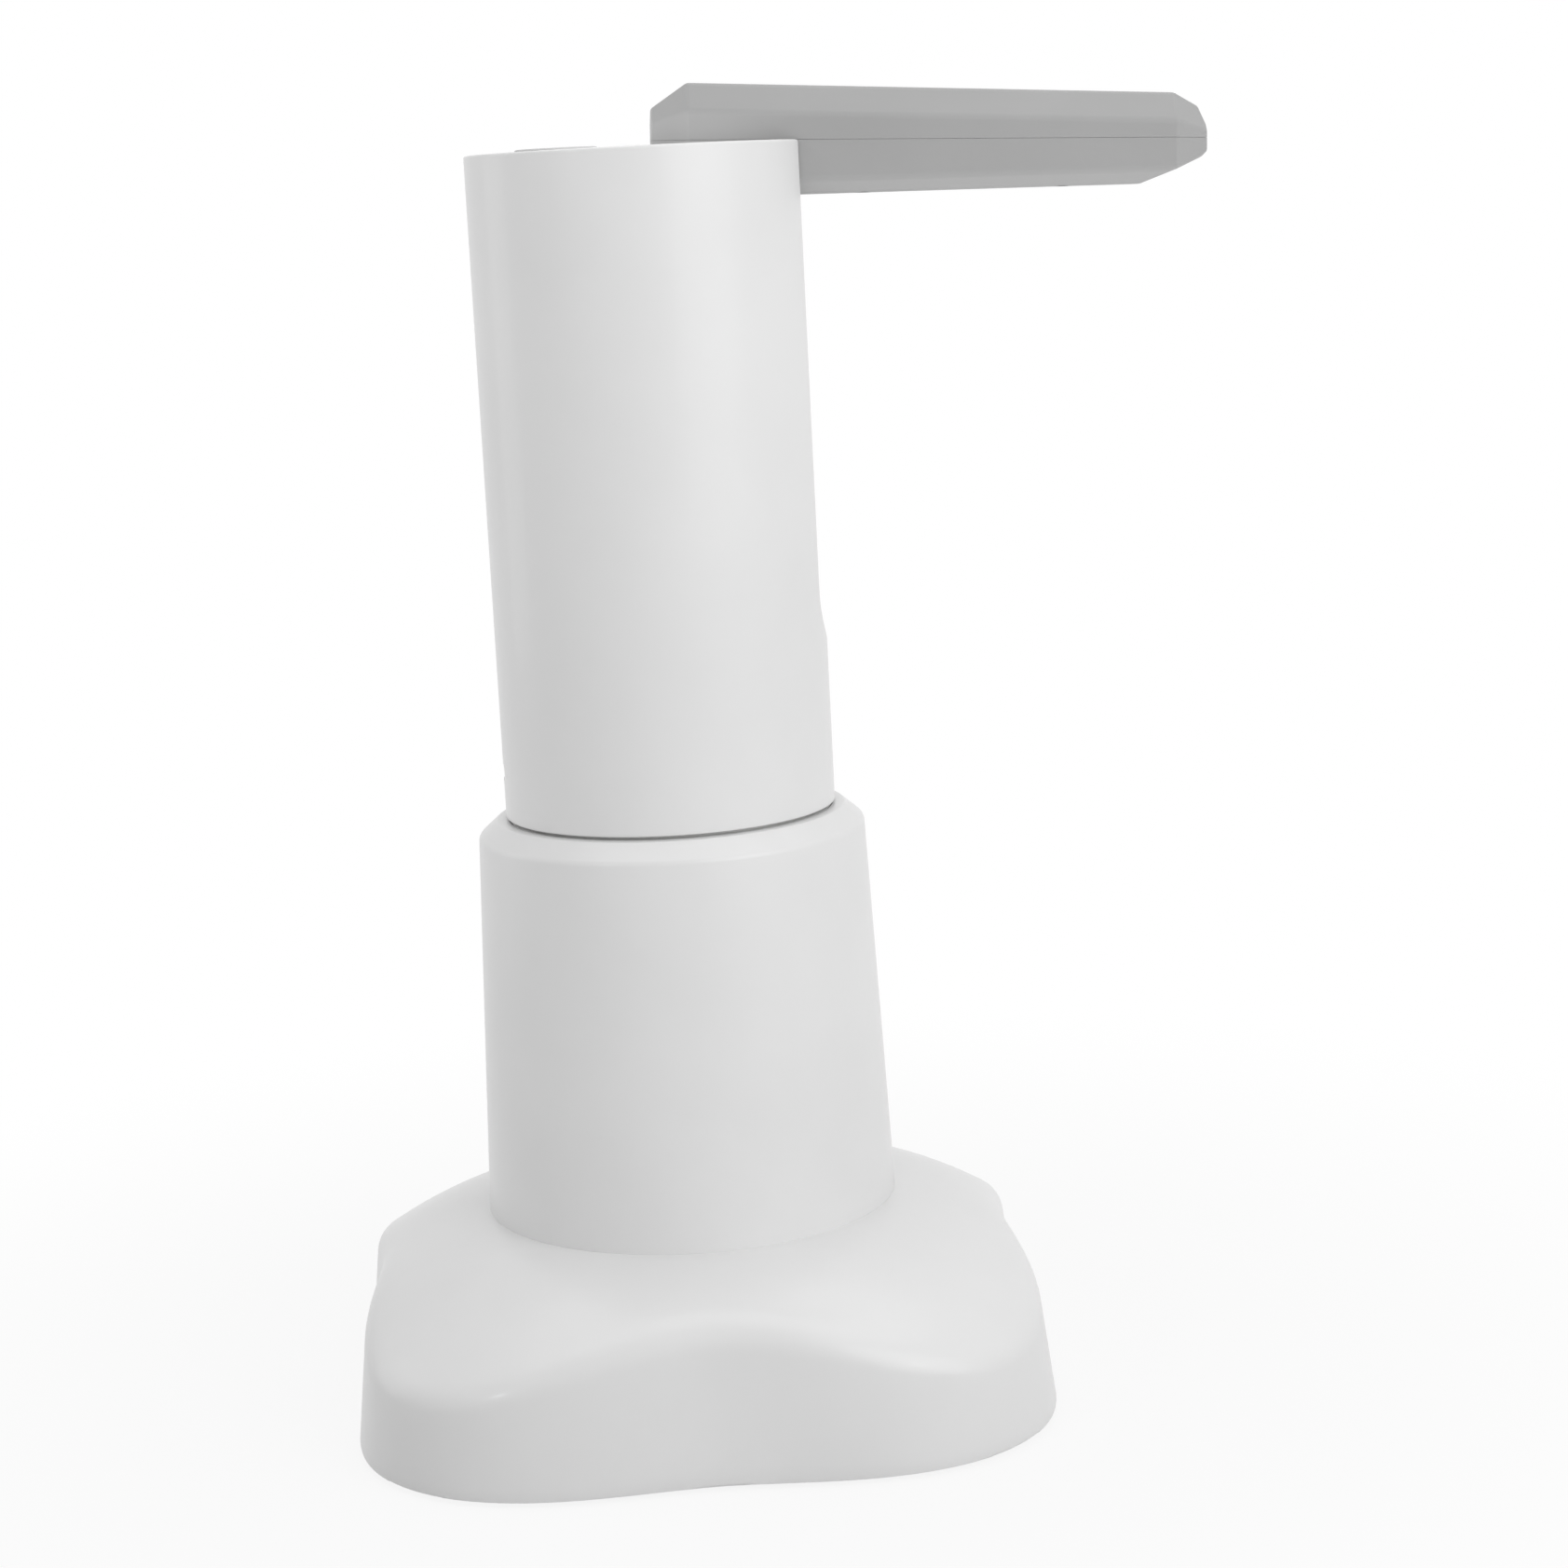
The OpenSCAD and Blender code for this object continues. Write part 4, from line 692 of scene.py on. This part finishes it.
def upright_slot(name, x, half, top, bottom):
    """A space with straight sides and a round lower end, open to the front."""
    mid_z = bottom + half
    piece = rod(name, (x, 0, mid_z), (x + 2 * HEAD_R, 0, mid_z), half, 96)
    bpy.ops.object.mode_set(mode="EDIT")
    work = bmesh.from_edit_mesh(piece.data)
    for vert in work.verts:
        if vert.co.z > mid_z + 0.01 * MM:
            vert.co.z = top
    bmesh.update_edit_mesh(piece.data)
    bpy.ops.mesh.select_all(action="SELECT")
    bpy.ops.mesh.remove_doubles(threshold=0.001 * MM)
    bpy.ops.object.mode_set(mode="OBJECT")
    return piece


def flat_slot(name, x, far_x, z, half_w, half_h):
    """A flat bar with round ends, lying along X."""
    piece = rod(name, (x, 0, z), (far_x, 0, z), half_h, 48)
    for vert in piece.data.vertices:
        if abs(vert.co.y) > 0.01 * MM:
            vert.co.y += math.copysign(half_w - half_h, vert.co.y)
    return piece


def head_casing():
    """The head's white tube with its round-ended slot and the window of the charging socket."""
    inner = HEAD_R - HEAD_WALL
    corners = [(inner, HEAD_Z), (HEAD_R, HEAD_Z), (HEAD_R, HEAD_TOP), (inner, HEAD_TOP)]
    ease = [0.3 * MM, 0.35 * MM, 0.7 * MM, 0.5 * MM]
    piece = turned("head_casing", rounded(corners, ease), steps=192)
    slot_x, over, port_depth = 12 * MM, 5 * MM, 5 * MM
    carve(piece, upright_slot("slot_space", slot_x, SLOT_HALF, HEAD_TOP + over, SLOT_END_Z))
    port_z, half_w, half_h = middle("usb_port").z, 4.75 * MM, 1.85 * MM
    carve(piece, flat_slot("port_space", -HEAD_R - MM, port_depth - HEAD_R, port_z, half_w, half_h))
    smooth(piece, 30)
    dress(piece, "head", "shell_white", "head_shell")


def head_spigot():
    """The head's lower end: a flange in the tube and a cup that drops into the sleeve."""
    bottom, top = low("head_bottom").z, high("head_bottom").z
    wall, floor, bore = 2.2 * MM, 2.4 * MM, 5.05 * MM
    corners = [
        (bore, bottom), (SPIGOT_R, bottom), (SPIGOT_R, HEAD_Z), (COVER_R, HEAD_Z), (COVER_R, top),
        (SPIGOT_R - wall, top), (SPIGOT_R - wall, bottom + floor), (bore, bottom + floor),
    ]
    ease = [0.2 * MM, 1.4 * MM, 0.2 * MM, 0.2 * MM, 0.2 * MM, 0.3 * MM, 0.6 * MM, 0.2 * MM]
    piece = turned("head_spigot", rounded(corners, ease))
    smooth(piece, 30)
    dress(piece, "head", "shell_white", "head_bottom")


def head_lid():
    """The white disc on top, open for the spout and the button."""
    bottom = COVER_TOP - COVER_T
    corners = [(0, bottom), (COVER_R, bottom), (COVER_R, COVER_TOP), (0, COVER_TOP)]
    piece = turned("head_lid", rounded(corners, [0, 0.2 * MM, 0.35 * MM, 0]), 192)
    bay_gap, button_gap = 0.15 * MM, 0.3 * MM
    half, bay = SLOT_HALF + CHEEK + bay_gap, low("spout_cradle").x - bay_gap
    carve(piece, block("bay_space", (bay, -half, bottom - MM), (2 * HEAD_R, half, COVER_TOP + MM)))
    hole_low, hole_high = (BUTTON_X, 0, bottom - MM), (BUTTON_X, 0, COVER_TOP + MM)
    carve(piece, rod("button_space", hole_low, hole_high, BUTTON_R + button_gap, 128))
    soften(piece, 0.25 * MM, degrees=60)
    smooth(piece, 30)
    dress(piece, "head", "shell_white", "top_cover")


def press_cap():
    """The power button: a soft-edged cap with a shallow dish, a flange under the lid and a stem."""
    stem_z, top = low("power_button").z, high("power_button").z
    lid_z = COVER_TOP - COVER_T
    flange_z, flange_r, stem_r = lid_z - 1.4 * MM, BUTTON_R + 1.4 * MM, 2.5 * MM
    dish_r, dish_floor_r, dish_z = 7 * MM, 4.4 * MM, top - 0.35 * MM
    corners = [
        (0, stem_z), (stem_r, stem_z), (stem_r, flange_z), (flange_r, flange_z), (flange_r, lid_z),
        (BUTTON_R, lid_z), (BUTTON_R, top), (dish_r, top), (dish_floor_r, dish_z), (0, dish_z),
    ]
    ease = [0, 0.3 * MM, 0.2 * MM, 0.2 * MM, 0.2 * MM, 0, 0.6 * MM, 0.9 * MM, 0.9 * MM, 0]
    piece = turned("press_cap", rounded(corners, ease), 96)
    move(piece, Matrix.Translation((BUTTON_X, 0, 0)))
    smooth(piece, 30)
    dress(piece, "button", "button_grey", "power_button")


def half_thickness(u):
    """Half the spout's thickness at a distance from the hinge."""
    taper = (SPOUT_BACK_T - SPOUT_TIP_T) / (SPOUT_LEN - SPOUT_END - SPOUT_TIP_END)
    return SPOUT_BACK_T - taper * (u + SPOUT_BACK - SPOUT_END)


def slot_liner():
    """The grey channel behind the slot, with the hinge bay and its cheeks at the top."""
    back, top, front = low("spout_cradle").x, high("spout_cradle").z, 2 * HEAD_R
    hose_room, swing_room, cheek_h, casing_gap = 3.6 * MM, 1.4 * MM, 12 * MM, 0.2 * MM
    gland_z = low("hinge_hose").z + HOSE_R
    bay_z = gland_z - HOSE_R - hose_room
    pocket_x = HINGE.x - (half_thickness(0) - PART_RISE) - swing_room
    inner_x = back + LINER_WALL
    outer, wide = SLOT_HALF + LINER_WALL, SLOT_HALF + CHEEK
    piece = upright_slot("slot_liner", pocket_x - LINER_WALL, outer, top, SLOT_END_Z - LINER_WALL)
    carve(piece, block("bay", (back, -outer, bay_z - LINER_WALL), (front, outer, top)), "UNION")
    carve(piece, block("cheeks", (back, -wide, HEAD_TOP - cheek_h), (front, wide, top)), "UNION")
    round_r = HEAD_R - HEAD_WALL - casing_gap
    carve(piece, rod("round", (0, 0, HEAD_Z), (0, 0, top), round_r, 192), "INTERSECT")
    carve(piece, upright_slot("slot_space", pocket_x, SLOT_HALF, top + MM, SLOT_END_Z))
    carve(piece, block("bay_space", (inner_x, -SLOT_HALF, bay_z), (front, SLOT_HALF, top + MM)))
    carve(piece, rod("gland_hole", (back - MM, 0, gland_z), (inner_x + MM, 0, gland_z), HOSE_R))
    soften(piece, 0.3 * MM, degrees=50)
    smooth(piece, 30)
    dress(piece, "head", "cradle_grey", "spout_cradle")


def charge_socket():
    """The charging socket: a drawn steel shell with a tongue inside."""
    box_low, box_high = low("usb_port"), high("usb_port")
    z = middle("usb_port").z
    half_w, half_h = (box_high.y - box_low.y) / 2, (box_high.z - box_low.z) / 2
    skin, floor = 0.35 * MM, 1.5 * MM
    tongue_x, tongue_half_w, tongue_half_t = box_low.x + 0.7 * MM, 3.3 * MM, 0.35 * MM
    piece = flat_slot("charge_socket", box_low.x, box_high.x, z, half_w, half_h)
    carve(piece, flat_slot(
        "shell_space", box_low.x - MM, box_high.x - floor, z, half_w - skin, half_h - skin
    ))
    soften(piece, 0.12 * MM, segments=2, degrees=50)
    tongue = block(
        "tongue", (tongue_x, -tongue_half_w, z - tongue_half_t),
        (box_high.x - MM, tongue_half_w, z + tongue_half_t),
    )
    soften(tongue, 0.15 * MM, segments=2)
    piece = join("charge_socket", piece, tongue)
    smooth(piece, 35)
    dress(piece, "head", "port_steel", "usb_port")


# Spout


def trim(point, normal):
    """Saw off all that lies beyond a plane, and close the cut."""
    bpy.ops.mesh.select_all(action="SELECT")
    bpy.ops.mesh.bisect(
        plane_co=point, plane_no=Vector(normal).normalized(), clear_outer=True, use_fill=True
    )


def spout_block():
    """The spout about its parting plane: a block sawn to side view, plan, bevels and facets."""
    tip, half_w, half_h = SPOUT_TIP, SPOUT_W / 2, 1.5 * SPOUT_BACK_T
    piece = block("spout_block", (-SPOUT_BACK, -half_w, -half_h), (tip, half_w, half_h))
    bpy.ops.object.mode_set(mode="EDIT")
    back_u, tip_u = SPOUT_END - SPOUT_BACK, tip - SPOUT_TIP_END
    back_t, tip_t = half_thickness(back_u), half_thickness(tip_u)

    def side(a, b):
        """A plane across the spout through two points (u, w) of its side view, outside on the left."""
        along = Vector((b[0] - a[0], 0, b[1] - a[1]))
        trim((a[0], 0, a[1]), (-along.z, 0, along.x))

    brow, nose = (tip - 1.9 * MM, 6.9 * MM), (tip - 0.4 * MM, 2.8 * MM)
    lip, chin = (tip - 0.3 * MM, -2.9 * MM), (CHIN_U, CHIN_W)
    slope = (SLOPE_U, -half_thickness(SLOPE_U))
    heel_u, heel_drop = 0.6 * MM - SPOUT_BACK, 5 * MM
    heel_low, heel_high = (heel_u, heel_drop - back_t), (heel_u, back_t - heel_drop)
    back_high, back_low = (back_u, back_t), (back_u, -back_t)
    path = [back_high, (tip_u, tip_t), brow, nose, lip, chin, slope, back_low, heel_low]
    for a, b in zip(path, path[1:]):
        side(a, b)
    side(heel_high, back_high)

    bevel_w, bevel_h, facet_drop = 6 * MM, 6.15 * MM, 2.4 * MM
    fall = (tip_t - back_t) / (tip_u - back_u)
    low_bevel = tip_t + slope[1] + (tip_u - slope[0]) * (chin[1] - slope[1]) / (chin[0] - slope[0])
    for hand in (-1, 1):
        across = hand * half_w
        trim((0, across, half_thickness(0) - bevel_h), (-fall * bevel_w, hand * bevel_h, bevel_w))
        trim((0, across, low_bevel - half_thickness(0)), (-fall, hand, -1))
        trim((back_u, across, 0), (-bevel_w, hand * SPOUT_END, 0))
        trim((tip_u, across, 0), (bevel_w, hand * SPOUT_END, 0))
        rise = Vector((0, -hand * bevel_w, bevel_h))
        for u, end_u in ((back_u, -SPOUT_BACK), (tip_u, tip)):
            facet = rise.cross(Vector((end_u - u, -hand * bevel_w, -facet_drop)))
            trim((u, across, half_thickness(u) - bevel_h), facet * math.copysign(1, facet.z))
    bpy.ops.mesh.select_all(action="SELECT")
    bpy.ops.mesh.remove_doubles(threshold=0.1 * MM)
    bpy.ops.mesh.dissolve_limited(angle_limit=math.radians(1))
    work = bmesh.from_edit_mesh(piece.data)
    share = work.edges.layers.float.new("bevel_weight_edge")
    least_turn, short_share = math.radians(12), 0.5
    for edge in work.edges:
        if edge.calc_face_angle(0) > least_turn:
            edge[share] = 1 if edge.calc_length() > SPOUT_LEN / 2 else short_share
    bmesh.update_edit_mesh(piece.data)
    bpy.ops.object.mode_set(mode="OBJECT")
    apply_modifier(
        piece, "BEVEL", width=MM, segments=5, limit_method="WEIGHT", use_clamp_overlap=False
    )
    return piece


def spout_place():
    """From the spout's own frame about its parting plane to its open place on the head."""
    droop = Matrix.Rotation(SPOUT_DROOP, 4, "Y")
    return Matrix.Translation(HINGE) @ droop @ Matrix.Translation((0, 0, PART_RISE))


def spout_half(whole, name, hand):
    """One moulded half: the block is sawn at the parting plane and given a wall."""
    piece = copy_of(whole, name)
    bpy.ops.object.mode_set(mode="EDIT")
    bpy.ops.mesh.select_all(action="SELECT")
    bpy.ops.mesh.bisect(
        plane_co=(0, 0, hand * PARTING_GAP / 2), plane_no=(0, 0, -hand),
        clear_outer=True, use_fill=False,
    )
    bpy.ops.object.mode_set(mode="OBJECT")
    apply_modifier(piece, "SOLIDIFY", thickness=SPOUT_SKIN, offset=-1)
    return piece


def nozzle_place():
    """Square to the sloped face under the tip, +Z into the spout, about the parting plane."""
    slope_angle = math.atan2(half_thickness(SLOPE_U) + CHIN_W, CHIN_U - SLOPE_U)
    along = 6.2 * MM
    place = Vector((SLOPE_U + along, 0, along * math.tan(slope_angle) - half_thickness(SLOPE_U)))
    return Matrix.Translation(place) @ Matrix.Rotation(-slope_angle, 4, "Y")


def arm_screw_spots():
    """Where the heads of the spout's screws sit, clear of its lower bevels."""
    return [Vector((u * MM, y * MM, -6.2 * MM)) for u in (28, 72) for y in (-6.4, 6.4)]


def spout():
    """Both halves; the lower one has the screw wells, the hose entry and the nozzle's seat."""
    whole = spout_block()
    top = spout_half(whole, "spout_top", 1)
    bottom = spout_half(whole, "spout_bottom", -1)
    bpy.data.objects.remove(whole)
    post_r, well_r = 2.7 * MM, ARM_HEAD_R + 0.1 * MM
    for spot in arm_screw_spots():
        post_low = Vector((spot.x, spot.y, MM - half_thickness(spot.x)))
        post_high = Vector((spot.x, spot.y, -0.2 * MM))
        carve(bottom, rod("post", post_low, post_high, post_r, 32), "UNION")
        well_low = Vector((spot.x, spot.y, -1.5 * SPOUT_BACK_T))
        carve(bottom, rod("well", well_low, spot + Vector((0, 0, ARM_HEAD_H)), well_r, 32))
    entry_u, entry_r, through = 5 * MM, 1.9 * MM, Vector((0, 0, 3 * MM))
    entry = Vector((entry_u, 0, -half_thickness(entry_u)))
    carve(bottom, rod("entry", entry - through, entry + through, entry_r, 32))
    mouth = rod("mouth", (0, 0, -5 * MM), (0, 0, 5 * MM), NOZZLE_R + 0.05 * MM, 64)
    move(mouth, nozzle_place())
    carve(bottom, mouth)
    for piece, node in ((top, "spout_upper_shell"), (bottom, "spout_lower_shell")):
        move(piece, spout_place())
        smooth(piece, 25)
        apply_modifier(piece, "WEIGHTED_NORMAL", keep_sharp=True)
        dress(piece, "spout", "spout_grey", node)


def outlet_ring():
    """The nozzle: a dark ring with a funnelled mouth."""
    mouth_r, bore, sink, throat, inner_end = 3.6 * MM, 2.75 * MM, 0.3 * MM, 1.3 * MM, 2.4 * MM
    corners = [
        (mouth_r, sink), (NOZZLE_R, sink), (NOZZLE_R, inner_end), (bore, inner_end), (bore, throat)
    ]
    piece = turned("outlet_ring", rounded(corners, [0.3 * MM, 0.3 * MM, 0, 0, 0.2 * MM], 4), 64)
    move(piece, spout_place() @ nozzle_place())
    smooth(piece, 30)
    dress(piece, "spout", "nozzle_grey", "spout_nozzle")


def arm_screws():
    shank_r, length = 1.1 * MM, 8.5 * MM
    model = cross_screw("arm_screw", ARM_HEAD_R, ARM_HEAD_H, shank_r, length)
    turns = [0.2, 1.3, 0.9, 0.5]
    places = [
        spout_place() @ Matrix.Translation(spot) @ Matrix.Rotation(turn, 4, "Z")
        for spot, turn in zip(arm_screw_spots(), turns)
    ]
    dress(screw_set("arm_screws", model, places), "spout", "screw_steel", "spout_screws")


def crossing_hose():
    """The soft hose under the hinge: out of the gland, round a bend and up onto the spout's barb."""
    box_low, box_high = low("hinge_hose"), high("hinge_hose")
    gland = Vector((box_low.x, 0, box_low.z + HOSE_R))
    bend, wall = 10 * MM, 1.3 * MM
    rise_x = box_high.x - HOSE_R
    start_fresh()
    bpy.ops.mesh.primitive_circle_add(
        vertices=40, radius=HOSE_R, fill_type="NOTHING", location=gland, rotation=(0, math.pi / 2, 0)
    )
    piece = new_piece("crossing_hose")
    settle(piece)
    bpy.ops.object.mode_set(mode="EDIT")
    bpy.ops.mesh.select_all(action="SELECT")
    run, run_steps = rise_x - bend - gland.x, 6
    for _ in range(run_steps):
        bpy.ops.mesh.extrude_edges_move(TRANSFORM_OT_translate={"value": (run / run_steps, 0, 0)})
    bpy.ops.mesh.spin(
        steps=18, angle=math.pi / 2, center=(rise_x - bend, 0, gland.z + bend), axis=(0, 1, 0)
    )
    tail, tail_steps = box_high.z - gland.z - bend, 4
    for _ in range(tail_steps):
        bpy.ops.mesh.extrude_edges_move(TRANSFORM_OT_translate={"value": (0, 0, tail / tail_steps)})
    bpy.ops.mesh.select_all(action="SELECT")
    bpy.ops.mesh.remove_doubles(threshold=0.001 * MM)
    bpy.ops.mesh.normals_make_consistent(inside=False)
    bpy.ops.object.mode_set(mode="OBJECT")
    apply_modifier(piece, "SOLIDIFY", thickness=wall, offset=-1)
    smooth(piece, 50)
    dress(piece, None, "hose_silicone", "hinge_hose")
    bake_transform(piece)


# Studio


def swung(a, b, angle):
    """Two axes turned in their plane, the first towards the second."""
    c, s = math.cos(angle), math.sin(angle)
    return c * a + s * b, c * b - s * a


def camera():
    """The photograph's view: slightly above, looking down, rolled a little to the left."""
    distance, eye_z = 742.87 * MM, 271.26 * MM
    yaw, pan, tilt, roll = (math.radians(a) for a in (-1.64, 2.010, 10.133, -2.907))
    focal_px, image_px, sensor_mm = 3546.8, 1683, 36
    eye = Vector((distance * math.sin(yaw), -distance * math.cos(yaw), eye_z))
    ahead = Vector((-math.sin(yaw), math.cos(yaw), 0))
    right = Vector((math.cos(yaw), math.sin(yaw), 0))
    up = Vector((0, 0, 1))
    ahead, right = swung(ahead, right, pan)
    ahead, up = swung(ahead, up, -tilt)
    right, up = swung(right, up, roll)
    start_fresh()
    bpy.ops.object.camera_add()
    view = bpy.context.object
    view.name = "photo_camera"
    view.data.sensor_width = sensor_mm
    view.data.lens = focal_px * sensor_mm / image_px
    turn = Matrix((right, up, -ahead)).transposed().to_4x4()
    view.matrix_world = Matrix.Translation(eye) @ turn
    bpy.context.scene.camera = view


def light(name, kind, place, target, strength):
    """A light that points at its target."""
    start_fresh()
    bpy.ops.object.light_add(type=kind, location=place)
    lamp = bpy.context.object
    lamp.name = name
    lamp.data.energy = strength
    lamp.rotation_euler = (Vector(target) - Vector(place)).to_track_quat("-Z", "Y").to_euler()
    return lamp


def softbox(name, place, target, size, watts):
    lamp = light(name, "AREA", place, target, watts)
    lamp.data.shape = "RECTANGLE"
    lamp.data.size, lamp.data.size_y = size


def spout_light(name, kind, place, target, strength):
    """A light on the spout's halves alone, shaded by nothing else, as from a white table near by."""
    lamp = light(name, kind, place, target, strength)
    halves = bpy.data.collections.new(name + "_halves")
    for half in ("spout_top", "spout_bottom"):
        halves.objects.link(bpy.data.objects[half])
    lamp.light_linking.receiver_collection = halves
    lamp.light_linking.blocker_collection = halves
    return lamp.data


def combined(nodes, links, operation, first, second):
    """Two values worked into one."""
    step = nodes.new("ShaderNodeMath")
    step.operation = operation
    links.new(first, step.inputs[0])
    links.new(second, step.inputs[1])
    return step.outputs["Value"]


def eased(nodes, links, value, start, end, least, most):
    """A smooth rise from the least to the most while a value goes from start to end."""
    spread = nodes.new("ShaderNodeMapRange")
    spread.interpolation_type = "SMOOTHSTEP"
    for key, number in (("From Min", start), ("From Max", end), ("To Min", least), ("To Max", most)):
        spread.inputs[key].default_value = number
    links.new(value, spread.inputs["Value"])
    return spread.outputs["Result"]


def seen_directly(nodes, links):
    """One for rays from the camera, off a mirror or through glass, and nought for gathered light."""
    path = nodes.new("ShaderNodeLightPath")
    total = path.outputs["Is Camera Ray"]
    for other in ("Is Glossy Ray", "Is Transmission Ray"):
        total = combined(nodes, links, "MAXIMUM", total, path.outputs[other])
    return total


def studio_world():
    """A white surround that shows brighter than the fill light it gives."""
    fill_strength, seen_strength = 0.36, 1
    world = bpy.data.worlds.new("studio")
    bpy.context.scene.world = world
    world.use_nodes = True
    nodes, links = world.node_tree.nodes, world.node_tree.links
    nodes.clear()
    out = nodes.new("ShaderNodeOutputWorld")
    mix = nodes.new("ShaderNodeMixShader")
    links.new(seen_directly(nodes, links), mix.inputs["Fac"])
    for socket, strength in ((1, fill_strength), (2, seen_strength)):
        white = nodes.new("ShaderNodeBackground")
        white.inputs["Color"].default_value = (1, 1, 1, 1)
        white.inputs["Strength"].default_value = strength
        links.new(white.outputs["Background"], mix.inputs[socket])
    links.new(mix.outputs["Shader"], out.inputs["Surface"])


def studio_floor():
    """A white floor: it takes the object's shadow near by and glows like a lit sweep further out."""
    start_fresh()
    bpy.ops.mesh.primitive_plane_add(size=8, location=(0, 0, 0))
    floor = new_piece("studio_floor")
    material, nodes, links, shader = surface("floor_white")
    shader.inputs["Base Color"].default_value = (0.7, 0.7, 0.7, 1)
    shader.inputs["Roughness"].default_value = 0.9
    shader.inputs["Specular IOR Level"].default_value = 0.1
    glow = nodes.new("ShaderNodeEmission")
    glow.inputs["Color"].default_value = (1, 1, 1, 1)
    glow.inputs["Strength"].default_value = 1
    place = nodes.new("ShaderNodeTexCoord")
    reach = nodes.new("ShaderNodeVectorMath")
    reach.operation = "LENGTH"
    links.new(place.outputs["Object"], reach.inputs[0])
    away = reach.outputs["Value"]
    fade = eased(nodes, links, away, start=0.08, end=0.36, least=0.88, most=1)
    near = combined(nodes, links, "MULTIPLY", seen_directly(nodes, links), fade)
    far = eased(nodes, links, away, start=0.12, end=0.42, least=0, most=0.65)
    mix = nodes.new("ShaderNodeMixShader")
    links.new(combined(nodes, links, "MAXIMUM", near, far), mix.inputs["Fac"])
    links.new(shader.outputs["BSDF"], mix.inputs[1])
    links.new(glow.outputs["Emission"], mix.inputs[2])
    links.new(mix.outputs["Shader"], nodes["Material Output"].inputs["Surface"])
    floor.data.materials.append(material)


def studio():
    """Soft light from the right and above, a low strip behind on the left, two sparks for the edges,
    and two glows on the spout: one on its rear end and one from the table.
    """
    bpy.context.scene.view_settings.view_transform = "Standard"
    studio_world()
    centre = (0, 0, 0.15)
    softbox("key", (0.86, -0.96, 0.7), centre, (1.2, 1.2), 7.7)
    softbox("strip", (-0.95, 0.35, 0.35), centre, (0.4, 0.9), 1)
    softbox("overhead", (0.05, 0.1, 1.3), centre, (1.4, 1.4), 7.4)
    softbox("right_spark", (0.85, -0.95, 0.62), centre, (0.1, 0.1), 0.45)
    softbox("left_spark", (-0.8, -0.85, 0.62), centre, (0.12, 0.12), 0.75)
    rear = Vector((HINGE.x - SPOUT_BACK, -8 * MM, HEAD_TOP + 5 * MM))
    beam = spout_light("rear_glow", "SPOT", rear + Vector((-0.31, -0.19, -0.265)), rear, 4.5)
    beam.spot_size, beam.spot_blend = math.radians(7), 1
    spout_light("table_glow", "SUN", (HINGE.x, 0, 0), HINGE, 0.9)
    studio_floor()


stand_base()
stand_sleeve()
under_plate()
plate_screws()
rubber_foot()
hose_nipple()
turning_ring()
head_casing()
head_spigot()
head_lid()
press_cap()
slot_liner()
charge_socket()
spout()
outlet_ring()
arm_screws()
crossing_hose()
camera()
studio()

for row in frame["record"]["subparts"]:
    node_mesh = frame["nodes"][row["node"]].data
    node_mesh.materials.clear()
    node_mesh.materials.append(FINISHES[row["material_slot"]])
